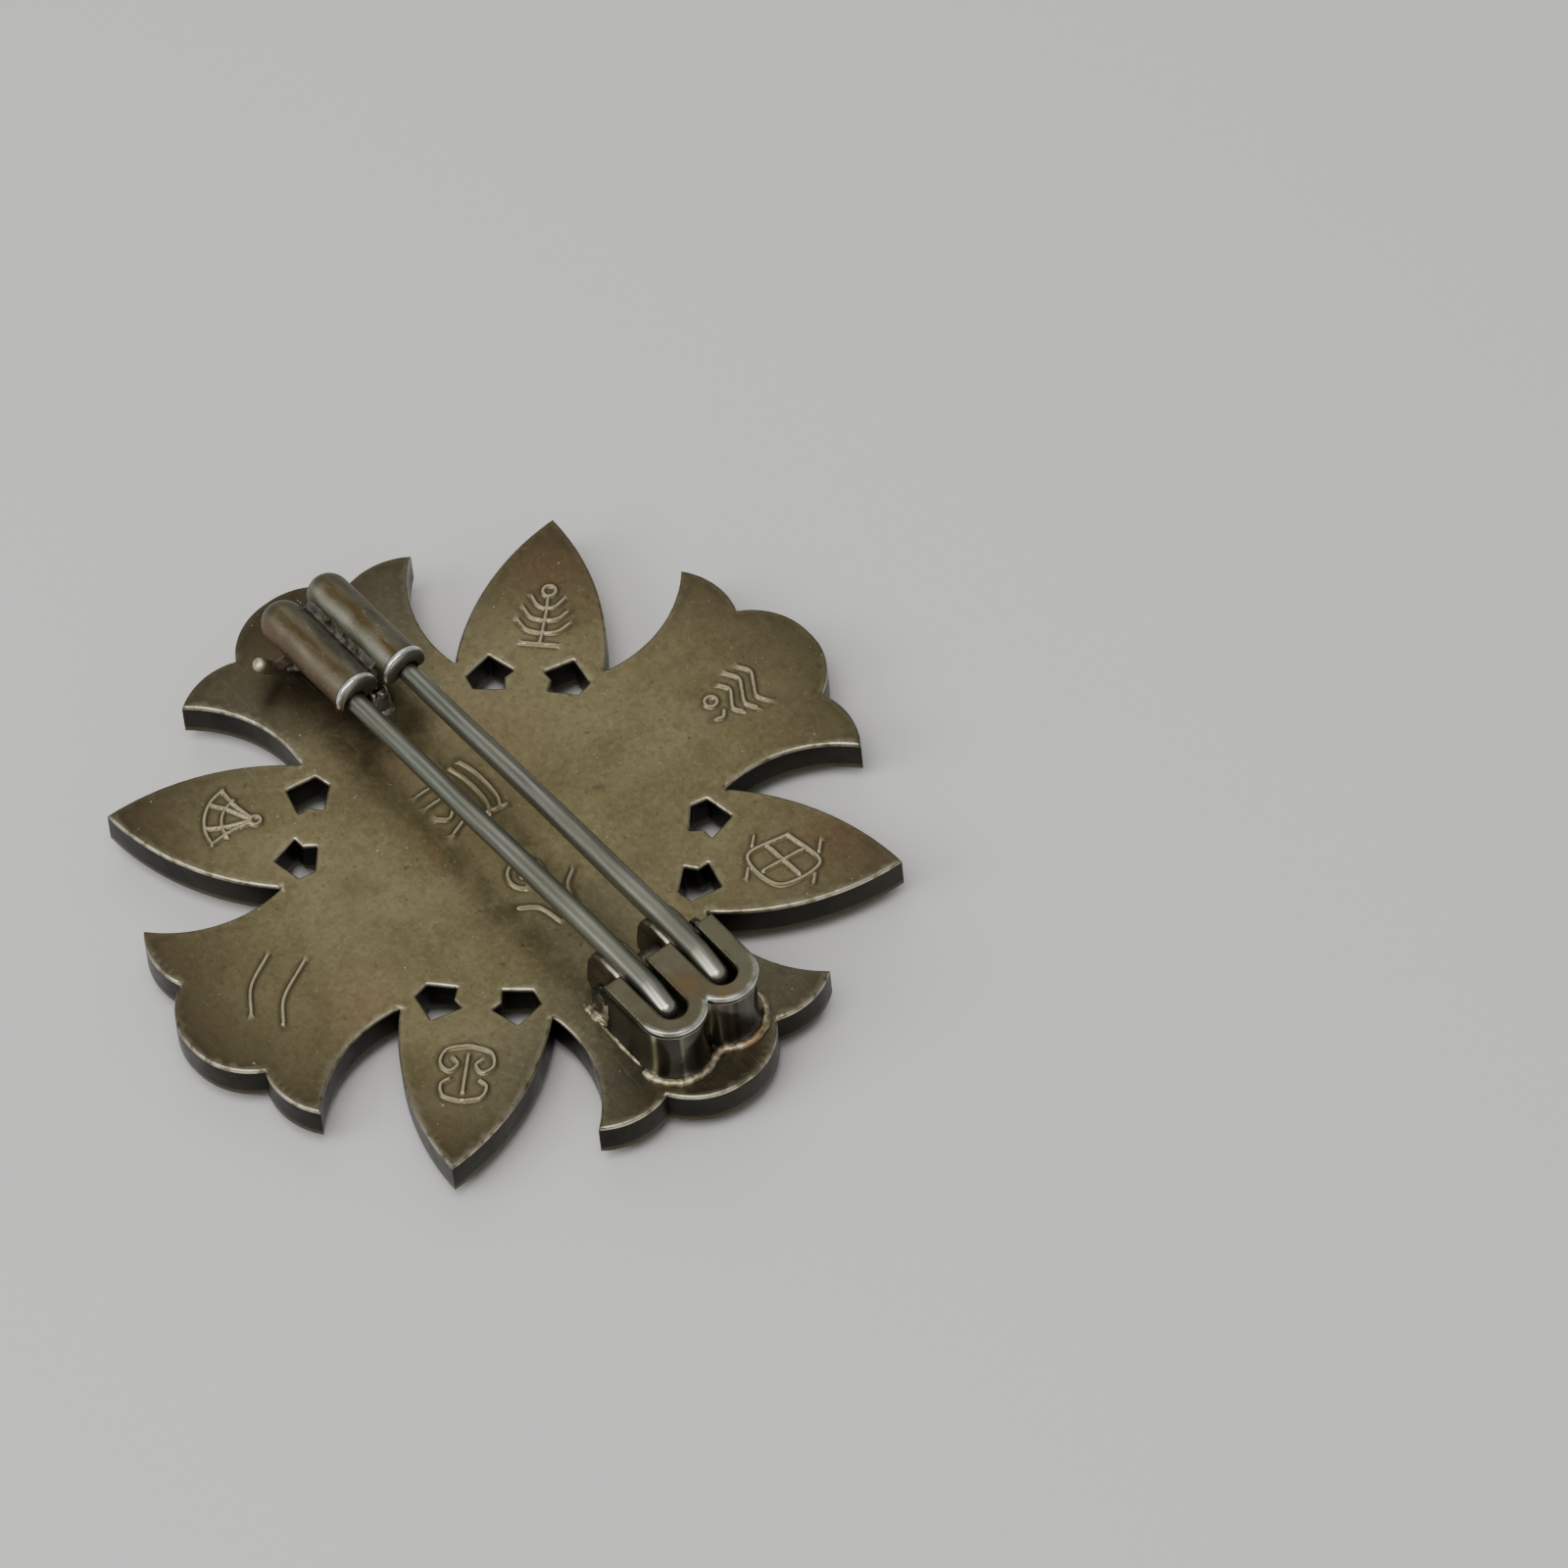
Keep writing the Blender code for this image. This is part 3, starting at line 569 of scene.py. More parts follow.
def grid_points(loop, spacing):
    """A grid of equal triangles over the loop's box."""
    low, high = loop.min(0), loop.max(0)
    rows = []
    for i, y in enumerate(np.arange(low[1], high[1], spacing * 0.866)):
        xs = np.arange(low[0] + (i % 2) * spacing / 2, high[0], spacing)
        rows.append(np.column_stack([xs, np.full(len(xs), y)]))
    return np.concatenate(rows)


def sheet(loops, radius, spacing, extra=None):
    """One face of a plate, triangulated: points, triangles, loops as point numbers, depth from the edge."""
    starts, ends = segments(loops, True)
    free = []
    for angle in np.linspace(0, math.pi / 2, 6)[1:]:
        depth = radius * (1 - math.cos(angle))
        for loop in loops:
            ring = inset(loop, depth)
            free.append(ring[distance_to(ring, starts, ends) > 0.93 * depth])
    inner = grid_points(loops[0], spacing)
    if extra is not None:
        inner = np.concatenate([inner, extra])
    inner = inner[inside(inner, starts, ends)]
    free.append(inner[distance_to(inner, starts, ends) > radius * 1.15])
    points = np.concatenate([*loops, *free])
    firsts = np.cumsum([0] + [len(loop) for loop in loops])
    edges = [
        (int(first) + i, int(first) + (i + 1) % len(loop))
        for first, loop in zip(firsts, loops) for i in range(len(loop))
    ]
    flat, _, faces, origins, _, _ = geometry.delaunay_2d_cdt(
        [Vector(point) for point in points], edges, [], 0, 1e-5, True
    )
    flat = np.array([tuple(point) for point in flat])
    number = {old: new for new, olds in enumerate(origins) for old in olds}
    faces = np.array([face for face in faces if len(face) == 3])
    faces = faces[inside(flat[faces].mean(1), starts, ends)]
    a, b, c = (flat[faces[:, k]] for k in range(3))
    ab, ac = b - a, c - a
    area = ab[:, 0] * ac[:, 1] - ab[:, 1] * ac[:, 0]
    faces, area = faces[np.abs(area) > 1e-9], area[np.abs(area) > 1e-9]
    faces[area < 0] = faces[area < 0][:, ::-1]
    rings = [[number[int(first) + i] for i in range(len(loop))] for first, loop in zip(firsts, loops)]
    return flat, faces, rings, distance_to(flat, starts, ends)


def rounding(depth, radius):
    """How far a rounded edge falls below the flat face, at this depth in from the outline."""
    short = np.clip(radius - depth, 0, radius)
    return radius - np.sqrt(np.maximum(radius * radius - short * short, 0))


def mesh_of(name, vertices, faces, paints=None):
    """A mesh from points in millimetres, with one number per point for each attribute in paints."""
    mesh = bpy.data.meshes.new(name)
    mesh.from_pydata((np.array(vertices) * MM).tolist(), [], faces)
    for key, values in (paints or {}).items():
        values = np.asarray(values, np.float32)
        mesh.attributes.new(key, "FLOAT", "POINT").data.foreach_set("value", values)
    return mesh


def fix_normals(mesh, angle=50):
    body = bmesh.new()
    body.from_mesh(mesh)
    bmesh.ops.recalc_face_normals(body, faces=body.faces)
    body.to_mesh(mesh)
    body.free()
    smooth(mesh, angle)


def smooth(mesh, angle):
    mesh.shade_smooth()
    mesh.set_sharp_from_angle(angle=math.radians(angle))


def plate(name, loops, low, high, radius, spacing, tops=None, bottoms=None, extra=(None, None)):
    """A rounded plate. tops and bottoms take points and depth, and give a height and attributes."""
    loops = clean_loops(loops)
    vertices, faces, sides = [], [], []
    painted = {}
    count = 0
    for level, (sign, base, shape) in enumerate(((1, high, tops), (-1, low, bottoms))):
        flat, triangles, rings, depth = sheet(loops, radius, spacing, extra[level])
        raised, paints = shape(flat, depth) if shape else (0.0, {})
        z = base - sign * rounding(depth, radius) + raised
        vertices.append(np.column_stack([flat, np.broadcast_to(z, len(flat))]))
        faces += (triangles[:, ::sign] + count).tolist()
        for key, value in {"edge": bell(depth, 0.9 * radius), **paints}.items():
            painted.setdefault(key, []).append((count, value))
        sides.append([[index + count for index in ring] for ring in rings])
        count += len(flat)
    wall_low, wall_high = low + radius, high - radius
    for loop, previous, lowest in zip(loops, *sides):
        size = len(loop)
        rings = []
        for share in WALL_LEVELS:
            z = wall_high + (wall_low - wall_high) * share
            rings.append(list(range(count, count + size)))
            vertices.append(np.column_stack([loop, np.full(size, z)]))
            painted.setdefault("wall", []).append((count, np.ones(size)))
            count += size
        for ring in (*rings, lowest):
            faces += [
                (ring[i], ring[(i + 1) % size], previous[(i + 1) % size], previous[i]) for i in range(size)
            ]
            previous = ring
    paints = {key: np.zeros(count, np.float32) for key in painted}
    for key, pieces in painted.items():
        for start, values in pieces:
            paints[key][start:start + len(values)] = values
    mesh = mesh_of(name, np.concatenate(vertices), faces, paints)
    smooth(mesh, 38)
    return mesh


def ring_faces(rings, around, capped=False):
    """Quads between neighbouring rings of points, and a flat face at each end if capped."""
    faces = []
    for i in range(rings - 1):
        a, b = i * around, (i + 1) * around
        for k in range(around):
            j = (k + 1) % around
            faces.append((a + k, a + j, b + j, b + k))
    if capped:
        faces.append(tuple(reversed(range(around))))
        faces.append(tuple(range((rings - 1) * around, rings * around)))
    return faces


def swept(name, path, radii, around=20, shape=None, paints=None, squash=1.0):
    """A round bar along a path in millimetres. shape(i, angle) scales the radius at ring i."""
    path = [Vector(point) for point in path]
    runs_across = abs((path[1] - path[0]).normalized().y) > 0.8
    side = Vector((1, 0, 0)) if runs_across else Vector((0, 1, 0))
    vertices = []
    for i, (point, radius) in enumerate(zip(path, radii)):
        ahead = (path[min(i + 1, len(path) - 1)] - path[max(i - 1, 0)]).normalized()
        side = (side - ahead * side.dot(ahead)).normalized()
        up = side.cross(ahead)
        for k in range(around):
            angle = 2 * math.pi * k / around
            r = radius * (shape(i, angle) if shape else 1.0)
            vertices.append(point + side * r * math.cos(angle) + up * r * squash * math.sin(angle))
    faces, data = ring_faces(len(path), around), {}
    for first, end in ((0, path[0]), (len(vertices) - around, path[-1])):
        faces += [(first + k, first + (k + 1) % around, len(vertices)) for k in range(around)]
        vertices.append(end)
    for key, values in (paints or {}).items():
        data[key] = [*np.repeat(values, around), values[0], values[-1]]
    mesh = mesh_of(name, vertices, faces, data)
    fix_normals(mesh)
    return mesh


def bar_along_y(name, path, radii, around=32):
    """A turned bar along Y."""
    angles = [2 * math.pi * k / around for k in range(around)]
    vertices = [
        (x + radius * math.cos(angle), y, z + radius * math.sin(angle))
        for (x, y, z), radius in zip(path, radii) for angle in angles
    ]
    mesh = mesh_of(name, vertices, ring_faces(len(path), around, True))
    fix_normals(mesh, 40)
    return mesh


def stand_up(mesh, y, z):
    """Turns a flat plate upright, so that its own Y becomes height, and puts it at this y and z."""
    mesh.transform(Matrix(((1, 0, 0, 0), (0, 0, -1, y * MM), (0, 1, 0, z * MM), (0, 0, 0, 1))))


def grain(point, size, seed=0.0):
    """Smooth noise from -1 to 1 with features of this size, for shapes."""
    return noise.noise(Vector(point) / size + Vector((seed, 1.7 * seed, -seed)))


def lump(name, centre, radii, seed, rough, flat_below):
    """A run of solder: a flattened ball made uneven, cut off flat at its foot."""
    body = bmesh.new()
    bmesh.ops.create_icosphere(body, subdivisions=4, radius=1.0)
    for vertex in body.verts:
        direction = vertex.co.normalized()
        swell = 1 + rough * grain(direction, 0.8, seed) + 0.4 * rough * grain(direction, 0.3, seed + 5)
        point = Vector(centre) + Vector([d * r * swell for d, r in zip(direction, radii)])
        point.z = max(point.z, flat_below)
        vertex.co = point * MM
    mesh = bpy.data.meshes.new(name)
    body.to_mesh(mesh)
    body.free()
    mesh.shade_smooth()
    return mesh


def show(mesh, name, body, slot, material, *nodes):
    """Puts a finished mesh on its body, with its material, in place of the CAD nodes named. Its slot is not
    used.
    """
    piece = placed(name, mesh)
    mesh.materials.append(material)
    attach(piece, body)
    if nodes:
        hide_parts(*nodes)


# === Raised devices ===

def smooth_line(points, step=0.08):
    """An evenly stepped curve through these points."""
    points = [np.array(p, float) for p in points]
    padded = [2 * points[0] - points[1], *points, 2 * points[-1] - points[-2]]
    result = []
    for a, b, c, d in zip(padded, padded[1:], padded[2:], padded[3:]):
        cuts = max(2, int(np.linalg.norm(c - b) / step))
        for i in range(cuts):
            t = i / cuts
            result.append(0.5 * (2 * b + (c - a) * t + (2 * a - 5 * b + 4 * c - d) * t * t
                                 + (3 * b - a - 3 * c + d) * t ** 3))
    result.append(points[-1])
    return np.array(result)


def ring_line(x, y, radius, start=0, end=360):
    """Points about 18 degrees apart on a circle."""
    count = max(5, int(abs(end - start) / 18) + 1)
    return on_circle(x, y, radius, np.radians(np.linspace(start, end, count)))


def both_sides(line):
    return [line, [(-x, y) for x, y in line]]


SPRIG = [
    [(0, -1.8), (0.05, 0), (0, 1.1)],
    ring_line(0, 1.55, 0.33),
    *both_sides([(0.1, -1.1), (0.8, -0.95), (1.35, -0.4)]),
    *both_sides([(0.1, -0.3), (0.7, -0.15), (1.15, 0.35)]),
    *both_sides([(0.1, 0.45), (0.5, 0.65), (0.85, 1.15)]),
    [(-0.9, -1.8), (0.9, -1.8)],
]
WAVES = [
    [(-1.5, 1.2), (-0.8, 1.55), (0, 1.2), (0.8, 0.85), (1.5, 1.2)],
    [(-1.5, 0.4), (-0.8, 0.75), (0, 0.4), (0.8, 0.05), (1.5, 0.4)],
    [(-1.1, -0.4), (-0.5, -0.1), (0.1, -0.4), (0.7, -0.7), (1.2, -0.4)],
    ring_line(-0.45, -1.45, 0.36),
    [(0.5, -1.2), (0.85, -1.5), (0.75, -1.9)],
]
LATTICE = [
    [(-1.6, 0), (0, 1.9), (1.6, 0), (0, -1.9), (-1.6, 0)],
    [(-0.8, -0.95), (0.8, 0.95)],
    [(-0.8, 0.95), (0.8, -0.95)],
    [(-1.35, 1.75), (-0.75, 1.75)],
    [(0.75, 1.75), (1.35, 1.75)],
    [(-1.35, -1.75), (-0.75, -1.75)],
    [(0.75, -1.75), (1.35, -1.75)],
]
SCROLLS = [
    *both_sides([(0.15, -1.6), (1.1, -1.3), (1.35, -0.5), (0.85, -0.05), (0.45, -0.45), (0.7, -0.8)]),
    *both_sides([(0.15, 1.7), (0.95, 1.45), (1.15, 0.8), (0.75, 0.4)]),
    [(0, -1.0), (0, 1.2)],
]
CRESCENTS = [
    [(-1.5, 0.9), (-0.5, 0.1), (0.35, -1.5)],
    [(-0.3, 1.55), (0.75, 0.75), (1.5, -0.6)],
]
FAN = [
    ring_line(0, -1.5, 2.9, 48, 132),
    ring_line(0, -1.5, 1.9, 48, 132),
    *both_sides([(0.15, -1.3), (1.0, -0.15), (1.9, 0.7)]),
    *both_sides([(0.08, -1.2), (0.6, 0.1), (0.85, 1.2)]),
    ring_line(0, -1.55, 0.3),
]
LADDER = [
    [(-1.9, 1.35), (-0.6, 1.6), (1.2, 1.55), (2.1, 1.2)],
    [(-1.9, 0.65), (-0.6, 0.9), (1.2, 0.85), (2.1, 0.45)],
    [(-1.5, -1.0), (-1.5, -2.0)],
    [(-0.5, -0.9), (-0.5, -2.0)],
    [(0.5, -0.9), (0.9, -1.5), (0.5, -2.0)],
    [(1.5, -0.9), (1.9, -2.0)],
    [(2.2, 1.6), (1.85, 0.3)],
]
TENDRILS = [
    ring_line(-1.2, -0.6, 1.0, 50, 320),
    [(0.3, 1.6), (1.0, 0.7), (2.3, 0.3)],
    [(0.4, -2.3), (1.2, -1.4), (2.6, -1.1)],
    ring_line(-1.2, -0.6, 0.25),
]
# Device, its middle in polar form about the star's centre, which way is up, and its scale.
DEVICES = (
    (SPRIG, 15.6, 133.5, 133.5, 1.12),
    (WAVES, 16.1, 87.3, 87.3, 1.0),
    (LATTICE, 15.9, 43.5, 43.5, 1.08),
    (SCROLLS, 16.1, -45.2, -45.2, 1.12),
    (CRESCENTS, 15.8, -90.2, -90.2, 1.45),
    (FAN, 15.6, -135.9, -135.9, 0.98),
    (LADDER, 3.9, 180, 90, 1.0),
    (TENDRILS, 4.0, 0, 90, 1.0),
)
STROKE = 0.24
STROKE_HEIGHT = 0.10
FINE_GAP = 0.035                            # side of the squares that hold one point each beside a line


def device_lines():
    lines = []
    for strokes, radius, azimuth, up, scale in DEVICES:
        middle = Vector((radius * math.cos(math.radians(azimuth)), radius * math.sin(math.radians(azimuth))))
        turn = Matrix.Rotation(math.radians(up - 90), 2)
        for stroke in strokes:
            line = smooth_line(stroke)
            lines.append(np.array([middle + turn @ (Vector(point) * scale) for point in line]))
    return lines


def left_of(line):
    """Steps of length 1 to the left of an open line, one at each of its points."""
    ahead = np.gradient(line, axis=0)
    ahead /= np.maximum(np.linalg.norm(ahead, axis=1), 1e-9)[:, None]
    return np.stack([-ahead[:, 1], ahead[:, 0]], axis=1)


def points_beside(lines, offsets):
    """Points along both sides of these lines, where a raised line needs a fine mesh."""
    result = []
    for line in lines:
        left = left_of(line)
        for offset in offsets:
            result.append(line + left * offset)
            if offset:
                result.append(line - left * offset)
    points = np.concatenate(result)
    cells = np.round(points / FINE_GAP).astype(np.int64)
    _, keep = np.unique(cells, axis=0, return_index=True)
    return points[np.sort(keep)]


def ridge(distance, width):
    """Profile of a raised line: a flat-topped ridge, 1 on its middle."""
    return 1 / (1 + (distance / (width / 2)) ** 6)


def bell(gap, width):
    """1 where the gap is 0, falling smoothly to about a third at this width."""
    return np.exp(-((gap / width) ** 2))


def blob(points, x, y, radius):
    return bell(np.hypot(points[:, 0] - x, points[:, 1] - y), radius)


# === The star ===

# Places on the back where its colour changes: x, y, radius and strength.
COOL_SPOTS = ((-18, 6, 4.5, 0.9), (-17, -6, 4.5, 0.8), (18, 6.5, 4, 1), (18, 0, 5, 1), (16.5, -6.5, 5, 1),
              (11.5, -3, 3, 0.5), (-15, 0, 5, 0.6), (8, 0, 3.5, 0.5))
RED_SPOTS = ((-14.2, 14.2, 3.0, 0.9), (12.5, 14.2, 2.0, 0.7), (4.2, -13.2, 2.2, 0.4), (-5.5, 4.6, 2.0, 0.25),
             (-9.5, -1.5, 2.4, 0.35), (16.3, -15.8, 1.5, 0.3))
# Dark patches: stains. The first three, beside the sheath, are also painted shade where the tubes shadow the
# plate.
DARK_STAIN_AND_SHADE_SPOTS = ((-15.6, -2.7, 1.3, 0.65), (-14.4, -3.9, 1.5, 0.45), (-16.8, -3.4, 1.2, 0.4),
              (-8.0, -3.2, 2.2, 0.3), (-3.0, -8.6, 1.0, 0.35), (-2.0, -7.6, 0.5, 0.4), (3.9, -3.7, 0.8, 0.3),
              (0.9, 6.3, 0.25, 0.8), (-19.5, 0, 2.5, 0.4))
ORANGE_SPOTS = ((-13.1, -1.8, 0.45, 0.8), (-14.0, -2.2, 0.4, 0.4), (-1.7, -3.5, 0.35, 0.5),
                (20.6, 1.6, 0.8, 0.4))


def spots(points, places):
    total = np.zeros(len(points))
    for x, y, radius, strength in places:
        total = np.maximum(total, strength * blob(points, x, y, radius))
    return total


GLARE_WAY = np.array((0.83, -0.55))        # the edges on this side get the brightest painted highlight, as if they caught a window's glare
DARKER_SIDE = math.radians(45)              # opposite this way, the painted shade towards the tips is darkest


def glare_side(points, depth, outline):
    """1 near edges that face the glare's side, where the painted highlight is strongest, falling to 0 near
    those that face away from it.
    """
    starts, ends = outline
    near = depth < 0.35
    step = 0.1
    further = points[near] - GLARE_WAY * step
    gap = distance_to(further, starts, ends)
    gap = np.where(inside(further, starts, ends), gap, -gap)
    facing = np.zeros(len(points))
    facing[near] = np.clip((gap - depth[near]) / step * 0.8 + 0.2, 0, 1)
    return facing


def back_face(lines, loops):
    starts, ends = segments(lines, False)
    outline = segments(loops, True)

    def shape(points, depth):
        gap = distance_to(points, starts, ends)
        raised = ridge(gap, STROKE)
        moat = bell(gap - 0.85 * STROKE, 0.42 * STROKE)
        x, y = points.T
        wave = 0.012 * np.sin(0.9 * x + 0.4 * y) * np.cos(0.7 * y - 0.3 * x)
        wave = wave * np.clip(depth - 0.3, 0, 1)
        radius = np.hypot(x, y)
        # painted shade: the back darkens towards its tips, more on one side, as the light falls off
        shade = 0.76 - 0.08 * np.cos(np.arctan2(y, x) - DARKER_SIDE)
        painted_tip_shade = shade * np.clip((radius - 11.5) / 9.5, 0, 1) ** 1.5
        rim = 0.25 * bell(depth - 0.42, 0.16)
        facing = glare_side(points, depth, outline)
        height = wave + STROKE_HEIGHT * raised - 0.018 * moat - 0.006 * rim
        return height, {
            "raised": 0.85 * raised,
            "moat": 0.75 * moat * (1 - raised),
            "cool": spots(points, COOL_SPOTS),
            "red": spots(points, RED_SPOTS),
            "orange": spots(points, ORANGE_SPOTS),
            "dark": np.clip(spots(points, DARK_STAIN_AND_SHADE_SPOTS) + painted_tip_shade + rim * 0.6, 0, 1),
            # edge: worn silver, plus a painted highlight weighted to the edges that face the glare
            "edge": bell(depth, 0.12) * (0.22 + 0.78 * facing),
        }

    return shape


def front_lines():
    """Ribs of the front: rays on each arm, a midrib with side veins on each leaf."""
    lines = []
    for k in range(4):
        for angle, reach in ((0, 20.6), (-7, 20.3), (7, 20.3), (-14, 19.2), (14, 19.2)):
            lines += [turned([(9.6 - abs(angle) * 0.02, 0), (reach, 0)], math.radians(90 * k + angle))]
        veins = [[(9.6, 0), (20.8, 0)]]
        for along in (13.4, 15.0, 16.6, 18.2):
            tip = (along + 1.5, 2.4 - 0.35 * (along - 13.4))
            veins += [[(along, 0.2), tip], [(along, -0.2), mirrored(tip)]]
        lines += [turned(vein, math.radians(90 * k + 45)) for vein in veins]
    return [smooth_line([tuple(p) for p in line], 0.25) for line in lines]


def front_face(lines):
    starts, ends = segments(lines, False)

    def shape(points, depth):
        radius = np.hypot(*points.T)
        angle = np.arctan2(points[:, 1], points[:, 0])
        gap = distance_to(points, starts, ends)
        rim = 1 / (1 + np.exp((depth - 0.55) / 0.06))
        relief = np.maximum(0.32 * ridge(gap, 0.5), 0.3 * rim)
        relief = np.where(radius > BOSS_RADIUS + 0.35, relief, 0)
        petals = np.clip((radius - 0.8) / 1.2, 0, 1) * np.clip((5.3 - radius) / 0.6, 0, 1)
        petals = petals * (0.25 + 0.25 * np.cos(8 * angle)) + 0.35 * np.clip((1.3 - radius) / 0.3, 0, 1)
        bead = bell(radius - 6.0, 0.22) * (0.5 + 0.5 * np.cos(48 * angle))
        well = np.clip((6.75 - radius) / 0.2, 0, 1)
        face = 0.55 * well - 0.45 * well * np.maximum(petals, 0.8 * bead)
        flank = np.clip((radius - BOSS_FACE_RADIUS) / (BOSS_RADIUS - BOSS_FACE_RADIUS), 0, 1)
        boss = np.where(radius < BOSS_FACE_RADIUS, face, FRONT * flank)
        height = np.where(radius < BOSS_RADIUS, boss - FRONT, -relief)
        moat = 0.5 * bell(gap - 0.45, 0.2) * (radius > BOSS_RADIUS)
        # dark near the outline: painted shade on the front's edges, which lie in shadow
        return height, {"moat": moat, "edge": np.zeros(len(depth)), "dark": 0.85 * bell(depth, 0.3)}

    return shape


def boss_points():
    rings = [r * 0.25 for r in range(1, 36)] + [BOSS_FACE_RADIUS, BOSS_RADIUS, 6.55, 6.65]
    points = []
    for radius in rings:
        count = max(8, int(2 * math.pi * radius / 0.22))
        angles = np.linspace(0, 2 * math.pi, count, endpoint=False)
        points.append(np.column_stack([radius * np.cos(angles), radius * np.sin(angles)]))
    return np.concatenate(points)


def add_star(material):
    backs, fronts = device_lines(), front_lines()
    extra_back = points_beside(backs, (0, 0.07, 0.12, 0.165, 0.21, 0.28, 0.4))
    extra_front = np.concatenate([points_beside(fronts, (0, 0.15, 0.25, 0.35, 0.5)), boss_points()])
    loops = [star_outline(), *star_piercings()]
    mesh = plate("star_struck", loops, FRONT, BACK, 0.17, 0.5, back_face(backs, loops), front_face(fronts),
                 (extra_back, extra_front))
    show(mesh, "star_struck", "badge", "aged_silver", material, "star_body")


# === The hinge box ===

def lobed_path(mouth_x, radius, soft=0.0, steps=26):
    """Two-lobed line of the hinge box, open at its mouth, from the -Y side round to the +Y side. The hollow
    between the lobes is sharp, or a soft curve that begins this far from its middle."""
    turn = math.asin((LOBE_SPREAD - soft) / radius)
    path = [(mouth_x, CLASP_Y - LOBE_SPREAD - radius)]
    for side in (-1, 1):
        middle = CLASP_Y + side * LOBE_SPREAD
        first, last = (-math.pi / 2, turn) if side < 0 else (-turn, math.pi / 2)
        path += on_circle(LOBE_X, middle, radius, np.linspace(first, last, steps + 1))
        if side < 0 and soft:
            for t in np.linspace(0.1, 0.9, 9):
                dip = 2 * t * (1 - t) * soft * math.tan(turn)
                path.append((LOBE_X + radius * math.cos(turn) - dip, CLASP_Y + (2 * t - 1) * soft))
    path.append((mouth_x, CLASP_Y + LOBE_SPREAD + radius))
    return path


def slot_path(side, steps=22):
    middle = CLASP_Y + side * PRONG_SPREAD
    end = on_circle(LOBE_X, middle, SLOT_RADIUS, np.linspace(-math.pi / 2, math.pi / 2, steps + 1))
    return [(BOX_MOUTH_X, middle - SLOT_RADIUS), *end, (BOX_MOUTH_X, middle + SLOT_RADIUS)]


def filled_in(path, step, closed=True):
    """The path with points added so that none are further apart than step."""
    result = []
    path = [np.array(p, float) for p in path]
    for a, b in zip(path, path[1:] + path[:1] if closed else path[1:]):
        cuts = max(1, math.ceil(np.linalg.norm(b - a) / step))
        result += [a + (b - a) * i / cuts for i in range(cuts)]
    return np.array(result if closed else [*result, path[-1]])


def lid_face(points, depth):
    """The lid's top: nearly flat, with a low lip along the lobes' edge, pale from rubbing and a painted
    highlight.
    """
    gap = distance_to(points, *segments([lobed_path(BOX_MOUTH_X, LID_LOBE_RADIUS)], False))
    lip = bell(gap - 0.20, 0.13)
    lobes = np.clip((points[:, 0] - 17.8) / 1.0, 0, 1)
    height = 0.04 * lip * lobes - 0.03 * np.clip(gap - 0.3, 0, 1)
    red = np.maximum(0.7 * blob(points, 19.2, 0.9, 0.7), 0.6 * blob(points, 17.2, -0.1, 0.8))
    # the lobes' lip: rubbed pale, with a painted highlight
    outer_edge = lobes * bell(gap, 0.16) + 0.10 * bell(gap, 0.12)
    return height, {"red": red, "edge": np.clip(outer_edge, 0, 1)}


def add_lid(material):
    outline = lobed_path(BOX_MOUTH_X, LID_LOBE_RADIUS)
    for side in (1, -1):
        outline += reversed(slot_path(side))
    mesh = plate("lid_plate", [filled_in(outline, 0.2)], LID_LOW, LID_HIGH, 0.16, 0.22, lid_face)
    show(mesh, "lid_plate", "badge", "grey_silver", material, "hinge_lid")


def wall_path(radius):
    """Line of the hinge box's wall: like the lid's, with a soft hollow between the lobes."""
    return lobed_path(EAR_END_X, radius, 0.5, 30)


def wall_streak(point, out):
    """How bright the wall is here, where it catches the window: strongest on the -Y lobe."""
    if point[0] <= LOBE_X - 0.5:
        return 0.0
    way = math.degrees(math.atan2(out[1], out[0]))
    if point[1] < CLASP_Y:
        return 0.9 * bell(way + 74, 5.0) + 0.30 * bell(way + 22, 3.0)
    return 0.135 * bell(way + 25, 5.0)


def add_wall(material):
    """A polished band round the lobes, flared at its foot. Its ends run on low, rounded over the axle."""
    half, bevel = WALL_THICKNESS / 2, 0.07
    path = filled_in(wall_path(LID_LOBE_RADIUS - LID_OVERHANG - half), WALL_STEP, False)
    low, high = BACK + 0.03, LID_LOW - 0.03
    lug = EAR_HEIGHT - AXLE_HEIGHT
    vertices, streaks = [], []
    for point, out in zip(path, -left_of(path)):
        before_axle = min(lug, max(0.0, AXLE_X - point[0]))
        ear = BACK + AXLE_HEIGHT + math.sqrt(lug * lug - before_axle * before_axle)
        slope = min(1.0, max(0.0, (point[0] - AXLE_X) / (BOX_MOUTH_X + 0.15 - AXLE_X)))
        top = ear + (high - ear) * slope ** 1.3
        hollow = bell(point[1] - CLASP_Y, 0.55) if point[0] > LOBE_X else 0.0
        flare = FLARE * slope * (1 - 0.75 * hollow)
        section = [(half + flare * math.exp(-t / 0.13), low + (top - low) * t) for t in WALL_SHARES]
        section += [
            (half, top - bevel), (half - 0.3 * bevel, top - 0.3 * bevel), (half - bevel, top),
            (bevel - half, top), (0.3 * bevel - half, top - 0.3 * bevel), (-half, top - bevel),
            (-half, (low + top) / 2), (-half, low),
        ]
        vertices += [(*(point + out * across), z) for across, z in section]
        # streak: painted reflection of the window, a little of it in the hollow between the lobes
        streaks += [min(1.0, 0.22 * hollow + wall_streak(point, out))] * len(section)
    faces = ring_faces(len(path), len(section), True)
    mesh = mesh_of("wall_band", vertices, faces, {"wall": np.ones(len(vertices)), "streak": streaks})
    fix_normals(mesh, 35)
    show(mesh, "wall_band", "badge", "grey_silver", material, "hinge_wall")


